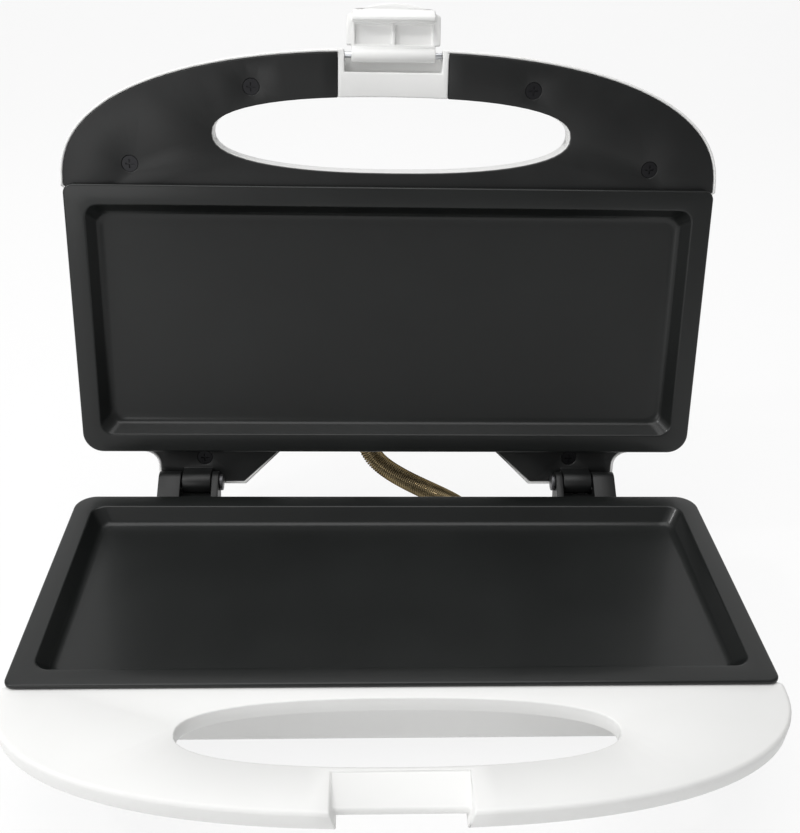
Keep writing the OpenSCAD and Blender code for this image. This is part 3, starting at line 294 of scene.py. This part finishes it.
# %% [markdown]
# ## Lenses and lamps
# Two small lenses on the lid's top show the lamps behind them. Real ones are clear coloured
# plastic. Transmission could show what lies behind, but a lens this small and dark hides it,
# so a smooth, deeply coloured plastic with a glossy coat is enough and renders faster. The
# neon lamps inside are only a warm glass tone.

# %% Lenses and neon glass
RED = finish_of("red_lens", (0.50, 0.010, 0.008), 0.15, vary=0.05, relief=0.02, coat=0.6)
GREEN = finish_of("green_lens", (0.02, 0.30, 0.05), 0.15, vary=0.05, relief=0.02, coat=0.6)
NEON = finish_of("neon_glass", (0.75, 0.45, 0.20), 0.10, vary=0.05, relief=0.02,
                 spread=0.04)
print("lenses:", RED.name, GREEN.name, "and", NEON.name)

# %% [markdown]
# ## Paint on the solids
# Every solid gets a finish, also those inside the housings, because the frame is looked at
# from all sides. Materials could be set one by one, but a table from
# finish to solids is easier to read, and it shows at once which pieces match.

# %% A finish for every solid
PAINTED_WITH = {
    WHITE: "base_shell lid_shell latch",
    BLACK: "lid_inner_cover hinge_bracket_left hinge_bracket_right lamp_holder",
    COATING: "lower_plate upper_plate",
    DARK_STEEL: "lower_element upper_element thermostat hinge_pin_left hinge_pin_right",
    BLACKENED: "cover_screws",
    STEEL: "lower_reflector upper_reflector fuse_clip lower_element_pins upper_element_pins"
           " lower_plate_screws upper_plate_screws hinge_bracket_screws latch_pin",
    CERAMIC: "lower_element_seals upper_element_seals terminal_block",
    SHADED_BRASS: "conduit_spring conduit_base_collar conduit_lid_collar thermal_fuse",
    RUBBER: "rubber_feet cord_inlet base_wires lid_wires conduit_liner",
    RED: "lamp_lens_red",
    GREEN: "lamp_lens_green",
    NEON: "neon_lamps",
}
PAINT = {name: paint for paint, names in PAINTED_WITH.items() for name in names.split()}
for name, solid in nodes.items():
    solid.data.materials.clear()
    solid.data.materials.append(PAINT[name])
print("painted", len(nodes), "solids")

# %% [markdown]
# ## Look of the stage
# A product picture stands on white paper. More light would whiten the paper, and would
# bleach the toaster as well. So its material mixes two shaders: a diffuse one takes the
# toaster's shadow, and an emission of strength 1 makes it white, but only for rays from the
# camera and for rays that a glossy or clear surface sends on.

# %% Material of the stage
PAPER, STAGE_WHITENESS = 0.9, 0.86


def stage_material(whiteness):
    """Diffuse floor that the camera and reflections see as nearly white."""
    m = bpy.data.materials.new("floor")
    m.use_nodes = True
    tree = m.node_tree
    tree.nodes.clear()
    out = tree.nodes.new("ShaderNodeOutputMaterial")
    matt = tree.nodes.new("ShaderNodeBsdfDiffuse")
    matt.inputs["Color"].default_value = (PAPER, PAPER, PAPER, 1)
    glow = tree.nodes.new("ShaderNodeEmission")
    glow.inputs["Strength"].default_value = 1.0
    ways = tree.nodes.new("ShaderNodeLightPath")
    seen = ways.outputs["Is Camera Ray"]
    for ray in ("Is Glossy Ray", "Is Transmission Ray"):
        either = tree.nodes.new("ShaderNodeMath")
        either.operation = "MAXIMUM"
        tree.links.new(seen, either.inputs[0])
        tree.links.new(ways.outputs[ray], either.inputs[1])
        seen = either.outputs[0]
    part = tree.nodes.new("ShaderNodeMath")
    part.operation = "MULTIPLY"
    part.inputs[1].default_value = whiteness
    tree.links.new(seen, part.inputs[0])
    mix = tree.nodes.new("ShaderNodeMixShader")
    tree.links.new(part.outputs[0], mix.inputs["Fac"])
    tree.links.new(matt.outputs[0], mix.inputs[1])
    tree.links.new(glow.outputs[0], mix.inputs[2])
    tree.links.new(mix.outputs[0], out.inputs["Surface"])
    return m


print("the stage glows", round(100 * STAGE_WHITENESS), "% for the camera")

# %% [markdown]
# ## Floor and backdrop
# The paper hangs from a bar and sweeps forward over the table, so the picture has no
# horizon. A floor and a wall would show the line where they meet. One sheet, extruded
# sideways from a profile with a quarter circle in it, bends like the real paper.

# %% Floor that bends into a backdrop
def backdrop(across, front, back, high, bend, steps=16):
    """A sheet in metres: flat floor, a quarter circle, then a wall."""
    profile = [(front, 0.0)]
    profile += [(back - bend + bend * math.sin(a), bend - bend * math.cos(a))
                for a in np.linspace(0, math.pi / 2, steps)]
    profile += [(back, high)]
    count = len(profile)
    mesh = bpy.data.meshes.new("backdrop")
    mesh.from_pydata([(x, y, z) for x in (-across, across) for y, z in profile], [],
                     [(i, i + 1, count + i + 1, count + i) for i in range(count - 1)])
    mesh.polygons.foreach_set("use_smooth", [True] * len(mesh.polygons))
    mesh.materials.append(stage_material(STAGE_WHITENESS))
    sheet = bpy.data.objects.new("backdrop", mesh)
    bpy.context.scene.collection.objects.link(sheet)
    sheet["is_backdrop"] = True
    return sheet


paper = backdrop(across=3.0, front=-2.5, back=1.6, high=2.5, bend=0.8)
print("backdrop of", len(paper.data.polygons), "faces stands")

# %% [markdown]
# ## Light
# The photograph was lit softly from above and the left: the plates are paler there. A small
# strong lamp high on the left draws the glints in the right corners of both pans. One sun
# would give hard shadows, so a big area lamp makes the soft light, two more the sheen from
# the left and front, and the world fills what they miss. Their strengths stay plain, so that
# a white moulding renders about as white as its colour says.

# %% World and softboxes
WORLD_STRENGTH = 0.28
SOFTBOXES = (  # name, place and aim in metres, width and height in metres, watts
    ("overhead", (-0.10, 0.0, 1.1), (0, 0, 0.05), 1.2, 0.9, 8.6),
    ("left", (-1.0, -0.5, 0.7), (0, 0, 0.1), 0.8, 0.8, 3.5),
    ("front_left", (-0.7, -1.5, 0.45), (0, 0.1, 0.1), 0.7, 0.6, 4),
    ("glint", (-0.62, -0.18, 0.69), (0.1, 0.04, 0.05), 0.055, 0.055, 1.4),
)

world = bpy.data.worlds.new("studio")
bpy.context.scene.world = world
world.use_nodes = True
sky = world.node_tree.nodes["Background"]
sky.inputs["Color"].default_value = (1, 1, 1, 1)
sky.inputs["Strength"].default_value = WORLD_STRENGTH
bpy.context.scene.view_settings.view_transform = "Standard"

for name, spot, aim, wide, high, power in SOFTBOXES:
    light = bpy.data.lights.new(name, "AREA")
    light.shape, light.size, light.size_y, light.energy = "RECTANGLE", wide, high, power
    lamp = bpy.data.objects.new(name, light)
    lamp.location = spot
    lamp.rotation_mode = "QUATERNION"
    lamp.rotation_quaternion = (Vector(aim) - Vector(spot)).to_track_quat("-Z", "Y")
    bpy.context.scene.collection.objects.link(lamp)

# %% [markdown]
# ## From a drawing to a piece
# A real part is moulded or turned and then fitted to its housing. Each finer mesh here is a
# bmesh in millimetres. Operators on a selected object could place and shade it, but they
# depend on what is selected, so this helper works on the data: it moves the drawing onto its
# half, shades it smooth except at true edges, and ties it in. The piece rides on a body,
# hides the solid that it stands for, and gets its material.

# %% Add a piece
def add_piece(name, bm, place, body, paint, stands_for=(), sharp=35):
    """Turns a bmesh drawn in millimetres into a smooth piece that rides on a body."""
    bm.transform(place)
    bmesh.ops.recalc_face_normals(bm, faces=bm.faces)
    mesh = bpy.data.meshes.new(name)
    bm.to_mesh(mesh)
    bm.free()
    mesh.materials.append(paint)
    mesh.polygons.foreach_set("use_smooth", [True] * len(mesh.polygons))
    mesh.set_sharp_from_angle(angle=math.radians(sharp))
    o = bpy.data.objects.new(name, mesh)
    bpy.context.scene.collection.objects.link(o)
    if body:
        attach(o, body)
    if stands_for:
        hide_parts(*stands_for)
    return o


def tell(piece):
    """Prints how fine a piece is."""
    print(piece.name, len(piece.data.polygons), "faces")


# %% [markdown]
# ## Lofts
# Plates, lenses and wires are all a ring of points that changes as it travels. They could be
# cut from blocks with booleans, but joining ring to ring with four-sided faces gives a
# cleaner skin. The plate's ring is a rectangle with round corners, and its corner radii may
# differ front and back, as they do on the real plates.

# %% Join rings into a skin
def loft(rings):
    """A closed skin over rings of equal length, flat at both ends."""
    bm = bmesh.new()
    rows = [[bm.verts.new(p) for p in ring] for ring in rings]
    for a, b in zip(rows, rows[1:]):
        for i in range(len(a)):
            j = (i + 1) % len(a)
            bm.faces.new((a[i], a[j], b[j], b[i]))
    bm.faces.new(rows[0])
    bm.faces.new(rows[-1])
    return bm


def rounded(half, y0, y1, front_r, back_r, z, steps=10):
    """A rounded rectangle as a ring, anticlockwise from its front right corner."""
    ring = []
    for cx, cy, r, start in ((half - front_r, y0 + front_r, front_r, -90),
                             (half - back_r, y1 - back_r, back_r, 0),
                             (-half + back_r, y1 - back_r, back_r, 90),
                             (-half + front_r, y0 + front_r, front_r, 180)):
        for i in range(steps + 1):
            a = math.radians(start + 90 * i / steps)
            ring.append((cx + r * math.cos(a), cy + r * math.sin(a), z))
    return ring


print("a plate's ring has", len(rounded(PLATE_W / 2, 0, PLATE_D, 1, 1, 0)), "points")

# %% [markdown]
# ## Profile of a cooking plate
# Each plate is a shallow pan in a thin flat flange. Seen from the front, its rim meets the
# pan's wall in a soft roll and the wall runs into the floor in a hollow one. These two bands
# catch the light. A bump could fake them, but not their outline, so they get real faces: the
# profile is written once, as distance in from the outer edge and height.

# %% Profile from the underside round to the pan's floor
PAN_DEPTH, RIM_W, FLOOR_T = 6.0, 6.7, 3.0
WALL_FOOT_IN, WALL_FOOT_UP, ROLL_R = 2.4, 1.4, 0.8
EDGE_R, UNDER_CHAMFER = 0.7, 0.4
CASTING = ((3.0, -PAN_DEPTH - FLOOR_T), (0.9, -4.0))  # in from the rim, height
HOLLOW = ((0.35, 0.85), (0.9, 0.4), (1.7, 0.1), (2.7, 0.0))  # in from the foot, above floor


def arc(cx, cz, r, start, end, steps=5):
    """Points of a round stretch of a profile, angles in degrees."""
    return [(cx + r * math.cos(math.radians(start + (end - start) * i / steps)),
             cz + r * math.sin(math.radians(start + (end - start) * i / steps)))
            for i in range(steps + 1)]


def under(edge_t):
    """Underside and outer edge of a plate whose flange is this thick."""
    casting = [(RIM_W + inset, z) for inset, z in CASTING]
    flange = [(RIM_W + 0.3, -edge_t), (UNDER_CHAMFER, -edge_t), (0.0, -edge_t + UNDER_CHAMFER)]
    return casting + flange + arc(EDGE_R, -EDGE_R, EDGE_R, 180, 90)


roll = arc(RIM_W, -ROLL_R, ROLL_R, 90, 25)
wall_foot = roll[-1][0] + WALL_FOOT_IN
PAN_PROFILE = roll + [(wall_foot, -PAN_DEPTH + WALL_FOOT_UP)]
PAN_PROFILE += [(wall_foot + inset, -PAN_DEPTH + up) for inset, up in HOLLOW]
print("plate profile:", len(under(PLATE_EDGE) + PAN_PROFILE), "points")

# %% [markdown]
# ## Cooking plates
# The real plates are cast in one piece and screwed into their housings. The outline ring is
# drawn in along the profile, step by step, and lofted. Scaling the ring would squeeze its
# long sides less than its short ones, so it is inset by a distance instead, and its corner
# radii shrink with it. The base plate has a thinner edge than the lid's.

# %% Plates
FRONT_R, BACK_R, PAN_CORNER_R = 3.4, 7.5, 5.0
FLANGE_END = 4  # below this inset the ring follows the outer outline


def plate_ring(inset, z):
    """The outline drawn in by an inset; its corners shrink, then follow the pan's."""
    if inset < FLANGE_END:
        front_r, back_r = FRONT_R - 0.3 * inset, BACK_R - 0.6 * inset
    else:
        front_r = back_r = PAN_CORNER_R - 0.12 * (inset - RIM_W)
    return rounded(PLATE_W / 2 - inset, inset, PLATE_D - inset, front_r, back_r, z)


for name, body, edge_t in (("lower_plate", "base", THIN_EDGE),
                           ("upper_plate", "lid", PLATE_EDGE)):
    rings = [plate_ring(*p) for p in under(edge_t) + PAN_PROFILE]
    tell(add_piece("dressed_" + name, loft(rings), HALVES[body], body, COATING, (name,),
                   sharp=60))

# %% [markdown]
# ## Mouldings
# A mould leaves a small radius on every edge, and that thin line of light is what makes
# plastic look like plastic. The solids already have the right shape, so each is copied, its
# doubled points are merged, and a bevel rounds the edges that are sharper than a given
# angle. A bevel modifier would do the same, but the export wants the final mesh.

# %% Soften a copy of a solid
MERGE, BEVEL_ANGLE, BEVEL_STEPS = 0.02, 40, 2


def dress(node, width, fit=None):
    """A piece with softened edges in place of a solid of the same shape."""
    solid = nodes[node]
    bm = bmesh.new()
    bm.from_mesh(solid.data)
    bm.transform(Matrix.Scale(1000, 4) @ solid.matrix_world)
    bmesh.ops.remove_doubles(bm, verts=bm.verts, dist=MERGE)
    if fit:
        fit(bm)
    bmesh.ops.recalc_face_normals(bm, faces=bm.faces)
    edges = [e for e in bm.edges
             if len(e.link_faces) == 2 and e.calc_face_angle(0) > math.radians(BEVEL_ANGLE)]
    bmesh.ops.bevel(bm, geom=edges, offset=width, segments=BEVEL_STEPS, profile=0.5,
                    affect="EDGES", clamp_overlap=False)
    return add_piece("dressed_" + node, bm, Matrix.Scale(0.001, 4), body_of(solid)[0],
                     PAINT[node], (node,), sharp=50)


print("edges above", BEVEL_ANGLE, "degrees are rounded in", BEVEL_STEPS, "steps")

# %% [markdown]
# ## Fitting the base housing
# Round the thin plate the photograph shows the housing's top face higher than the solid has
# it, and through the finger hole it shows more of the front wall. Both could be modelled
# anew, but moving the points of the copy keeps every rib and screw post. The top is raised
# where it is nearest the rim, and the foot of the front wall is drawn forward. At the latch
# notch some points lie closer together than the bevel is wide, so they are welded first.

# %% Move the points of the base housing
LIFT, LIFT_FROM, LIFT_FULL = PLATE_EDGE - THIN_EDGE, RIM_Z - 6.2, RIM_Z - 3.9
FORWARD, WALL_TOP, WALL_FRONT_Y, WALL_END_Y = 7.0, 8.2, 17.5, 25.0
NOTCH_Y, NOTCH_WELD = -46 - MID_Y, 0.35


def share(value, zero, one):
    """How far a value has come from zero to one, kept between the two."""
    return min(1, max(0, (value - zero) / (one - zero)))


def fit_base(bm):
    """Welds the notch's corners, raises the top face and draws the front wall forward."""
    notch = [v for v in bm.verts if v.co.y < NOTCH_Y]
    bmesh.ops.remove_doubles(bm, verts=notch, dist=NOTCH_WELD)
    for p in (v.co for v in bm.verts):
        y, depth = p.y + MID_Y, RIM_Z - p.z
        in_wall = share(depth, WALL_TOP, BASE_DEPTH) * share(y, WALL_END_Y, WALL_FRONT_Y)
        p.y -= FORWARD * in_wall
        p.z += LIFT * share(p.z, LIFT_FROM, LIFT_FULL)


print("the top face rises by", round(LIFT, 1), "mm, the wall's foot comes", FORWARD, "mm")

# %% [markdown]
# ## White housings and latch
# The shells are the two halves that the hand sees, and the latch hooks the lid's handle into
# the base's notch. All three are softened copies. The latch is a thinner moulding, so its
# edges get a finer radius; one width for all would round its ribs away.

# %% White housings and latch
for node, width, fit in (("base_shell", 0.45, fit_base), ("lid_shell", 0.5, None),
                         ("latch", 0.4, None)):
    tell(dress(node, width, fit))

# %% [markdown]
# ## Black frame and brackets
# The black frame closes the lid's inner side round the plate and holds the hinge's knuckles;
# the brackets on the base carry their pins. Both could share the housings' radius, but they
# are crisper in the photograph, where their edges show no broad sheen.

# %% Black frame and hinge brackets
for node in ("lid_inner_cover", "hinge_bracket_left", "hinge_bracket_right"):
    tell(dress(node, 0.3))

# %% [markdown]
# ## Webs of the brackets
# Between the two ears of each bracket a black web is set under the lid's knuckle, so the
# gap shows black and no light shows through there. A plain block would hit the knuckle, and a
# boolean would cut it free; an extruded side view needs neither. Its trough is an arc
# centred on the hinge axis, which keeps it clear of the knuckle at every angle of the lid.

# %% Webs with a trough round the knuckle
KNUCKLE_X, KNUCKLE_W, EAR_GAPS = 69.1, 11.0, (0.4, 0.5)
TROUGH_R, TROUGH_FROM, TROUGH_TO, TROUGH_STEPS = 4.8, 227, 300, 12
WEB_LOW, WEB_HIGH, WEB_SUNK, WEB_REACH = -12.3, -5.4, 0.8, 3.2


def web(side):
    """A prism between the ears, drawn as a side view and pushed along x."""
    side_view = [(BACK_Y - 1.0, WEB_LOW), (BACK_Y - 0.6, WEB_HIGH)]
    side_view += [(HINGE_Y + TROUGH_R * math.cos(a), -HINGE_DROP + TROUGH_R * math.sin(a))
                  for a in np.linspace(math.radians(TROUGH_FROM), math.radians(TROUGH_TO),
                                       TROUGH_STEPS)]
    side_view += [(HINGE_Y + WEB_REACH, WEB_LOW)]
    inner = KNUCKLE_X - EAR_GAPS[0] - WEB_SUNK
    outer = KNUCKLE_X + KNUCKLE_W + EAR_GAPS[1] + WEB_SUNK
    return loft([[(side * x, y, z) for y, z in side_view] for x in (inner, outer)])


for name, side in (("bracket_web_left", -1), ("bracket_web_right", 1)):
    add_piece(name, web(side), ON_BASE, "base", BLACK)
print("webs stand", TROUGH_R, "mm round the hinge axis")

# %% [markdown]
# ## Small turned and moulded pieces
# Feet, gland, collars and pins are round and catch light on their rims. They could be lathed
# again, but softened copies of the solids are enough, only with finer edges, because a bevel
# has to be small against the piece: a tenth of its thickness looks turned, a half looks
# melted.

# %% Feet, gland, collars and pins
SMALL_PIECES = (("rubber_feet", 0.4, "rubber_black"), ("cord_inlet", 0.3, "rubber_black"),
                ("conduit_base_collar", 0.2, "brass_winding"),
                ("conduit_lid_collar", 0.2, "brass_winding"),
                ("hinge_pin_left", 0.25, "pin_steel"), ("hinge_pin_right", 0.25, "pin_steel"),
                ("latch_pin", 0.2, "pin_steel"))
for node, width, cad_slot in SMALL_PIECES:
    tell(dress(node, width))

# %% [markdown]
# ## Lenses
# The two lenses stand a little proud of the lid's top and end in a low dome. A squashed
# sphere could cap a cylinder, but the seam would show. A dome is a ring that shrinks as it
# rises, so one loft makes all of it: a flange that holds the lens from inside, a stem
# through the lid, and a quarter of an ellipse at the end.

# %% Domed lenses
LID_WALL, SEAT_GAP = 2.5, 0.05
FLANGE_R, FLANGE_H, FLANGE_Z = LAMP_R + 1.4, 1.2, LID_DEPTH - LID_WALL - SEAT_GAP
DOME_H, DOME_FROM, DOME_TO, DOME_STEPS, LENS_SIDES = 1.4, 0.2, 1.45, 7, 32


def lens_rings(x):
    """Rings of a lens from its flange inside the lid to its dome; z goes down here."""
    profile = [(FLANGE_R, FLANGE_Z - FLANGE_H), (FLANGE_R, FLANGE_Z), (LAMP_R, FLANGE_Z),
               (LAMP_R, LAMP_TOP - DOME_H)]
    profile += [(LAMP_R * math.cos(a), LAMP_TOP - DOME_H + DOME_H * math.sin(a))
                for a in np.linspace(DOME_FROM, DOME_TO, DOME_STEPS)]
    turns = np.linspace(0, 2 * math.pi, LENS_SIDES, endpoint=False)
    return [[(x + r * math.cos(t), LAMP_Y + r * math.sin(t), -depth) for t in turns]
            for r, depth in profile]


for cad_slot, side in (("lens_red", -1), ("lens_green", 1)):
    name = "lamp_" + cad_slot
    lens = add_piece("dressed_" + name, loft(lens_rings(side * LAMP_X)), ON_LID, "lid",
                     PAINT[name], (name,), sharp=50)
    print(lens.name, "dome", DOME_H, "mm high")

# %% [markdown]
# ## Middle line of the conduit
# A conduit of close-wound wire carries the lid's wires from the base to the lid. It leaves
# one back wall straight, bends, and enters the other one straight. A curve object with
# handles could be drawn by hand, but it has to leave both walls squarely, so its middle line
# is computed: a Bezier curve between two short straight leads, measured along its length.

# %% Middle line of the conduit
BASE_EXIT, LID_EXIT = (30.0, -10.5), (-8.0, -21.0)  # x and z on the two back walls
SUNK, LEAD, PULL = 2.0, 8.0, (14.0, 17.0)
BEND_STEPS = 160


def back_place(depth, x, z):
    """A point of a housing's back wall and the direction straight out of it."""
    y = BACK_Y - BACK_LEAN * (-z - PLATE_EDGE) / (depth - PLATE_EDGE)
    tilt = math.atan(BACK_LEAN / (depth - PLATE_EDGE))
    return Vector((x, y, z)), Vector((0, math.cos(tilt), -math.sin(tilt)))


TO_BASE = ON_BASE.inverted() @ ON_LID
spot_a, dir_a = back_place(BASE_DEPTH, *BASE_EXIT)
spot_b, dir_b = back_place(LID_DEPTH, *LID_EXIT)
spot_b, dir_b = TO_BASE @ spot_b, (TO_BASE.to_3x3() @ dir_b).normalized()
start, stop = spot_a - SUNK * dir_a, spot_b - SUNK * dir_b
turn_a, turn_b = start + LEAD * dir_a, stop + LEAD * dir_b


def bend(t):
    """A point of the bend, with t from 0 at the base's lead to 1 at the lid's."""
    return ((1 - t) ** 3 * turn_a + 3 * (1 - t) ** 2 * t * (turn_a + PULL[0] * dir_a)
            + 3 * (1 - t) * t * t * (turn_b + PULL[1] * dir_b) + t ** 3 * turn_b)


line = [start] + [bend(i / BEND_STEPS) for i in range(BEND_STEPS + 1)] + [stop]
length_at = np.concatenate(([0], np.cumsum([(b - a).length for a, b in zip(line, line[1:])])))
LENGTH = float(length_at[-1])
line = np.array([tuple(p) for p in line])
print("the conduit's middle line is", round(LENGTH, 1), "mm long")

# %% [markdown]
# ## A frame that travels along the line
# To wind a wire round a bent line, each point of the line needs two directions across it. A
# frame that follows the curvature would flip where the bend turns over, and the winding
# would kink there. Crossing the line's direction with one fixed vector that it never meets
# gives a frame that only turns slowly.

# %% Directions along and across the line
NEVER_ALONG, LOOK_AROUND = Vector((0.5, 0.3, -0.8)), 1


def on_line(s):
    """The point of the middle line at a length from its start."""
    return Vector([np.interp(s, length_at, line[:, k]) for k in range(3)])


def line_frame(s):
    """Direction of the line at a length, and two directions across it."""
    ahead, behind = on_line(min(s + LOOK_AROUND, LENGTH)), on_line(max(s - LOOK_AROUND, 0))
    along = (ahead - behind).normalized()
    side = along.cross(NEVER_ALONG).normalized()
    return along, side, along.cross(side)


def ring_round(centre, out, along, r, sides):
    """A circle of points in the plane of two directions."""
    return [centre + r * (math.cos(b) * out + math.sin(b) * along)
            for b in np.linspace(0, 2 * math.pi, sides, endpoint=False)]


print("halfway the line runs along", [round(v, 2) for v in line_frame(LENGTH / 2)[0]])

# %% [markdown]
# ## Wound wire and sleeve
# The winding could be an array of rings, but the real one is a single wire, and its slant
# shows. So rings of a thin tube are set along a helix round the middle line and lofted, with
# the turns nearly touching. A plain sleeve inside keeps light from shining through. Both
# are blended between the base and the lid, because the real conduit bends when the lid moves.

# %% Wind the wire and slide in the sleeve
CONDUIT_R, WIRE_R, TURN_PITCH, STEPS_PER_TURN, WIRE_SIDES = 4.0, 0.45, 0.92, 14, 8
SLEEVE_R, SLEEVE_STEPS, SLEEVE_SIDES, SLEEVE_SHORT = 2.9, 60, 16, 0.5


def wound_wire():
    """The wire as one tube along a helix round the middle line."""
    count = int(LENGTH / TURN_PITCH * STEPS_PER_TURN)
    rings = []
    for i in range(count + 1):
        s = LENGTH * i / count
        along, side, up = line_frame(s)
        a = 2 * math.pi * i / STEPS_PER_TURN
        out = math.cos(a) * side + math.sin(a) * up
        centre = on_line(s) + (CONDUIT_R - WIRE_R) * out
        rings.append(ring_round(centre, out, along, WIRE_R, WIRE_SIDES))
    return loft(rings)


def sleeve():
    """A plain tube along the middle line, a little shorter than the wire."""
    rings = []
    for i in range(SLEEVE_STEPS + 1):
        s = SLEEVE_SHORT + (LENGTH - 2 * SLEEVE_SHORT) * i / SLEEVE_STEPS
        _, side, up = line_frame(s)
        rings.append(ring_round(on_line(s), side, up, SLEEVE_R, SLEEVE_SIDES))
    return loft(rings)


for name, bm, cad_slot in (("conduit_spring", wound_wire(), "brass_winding"),
                           ("conduit_liner", sleeve(), "rubber_black")):
    piece = add_piece("dressed_" + name, bm, ON_BASE, None, PAINT[name], (name,),
                      sharp=80)
    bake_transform(piece, "base", "lid", start=tuple(ON_BASE @ turn_a), end=tuple(ON_BASE @ turn_b))
print("wound", int(LENGTH / TURN_PITCH), "turns")

# %% [markdown]
# ## Measure and finish
# A finer mesh must not make the toaster bigger than its solids. A ruler in the viewport
# could check one side, but numbers check all of them: the box of everything is kept before
# and after dressing, and how far it grew is printed.

# %% Boxes before and after
low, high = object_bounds()
print("grown by", [round(1000 * (b - a), 2) for a, b in zip(cad_high, high)], "mm")
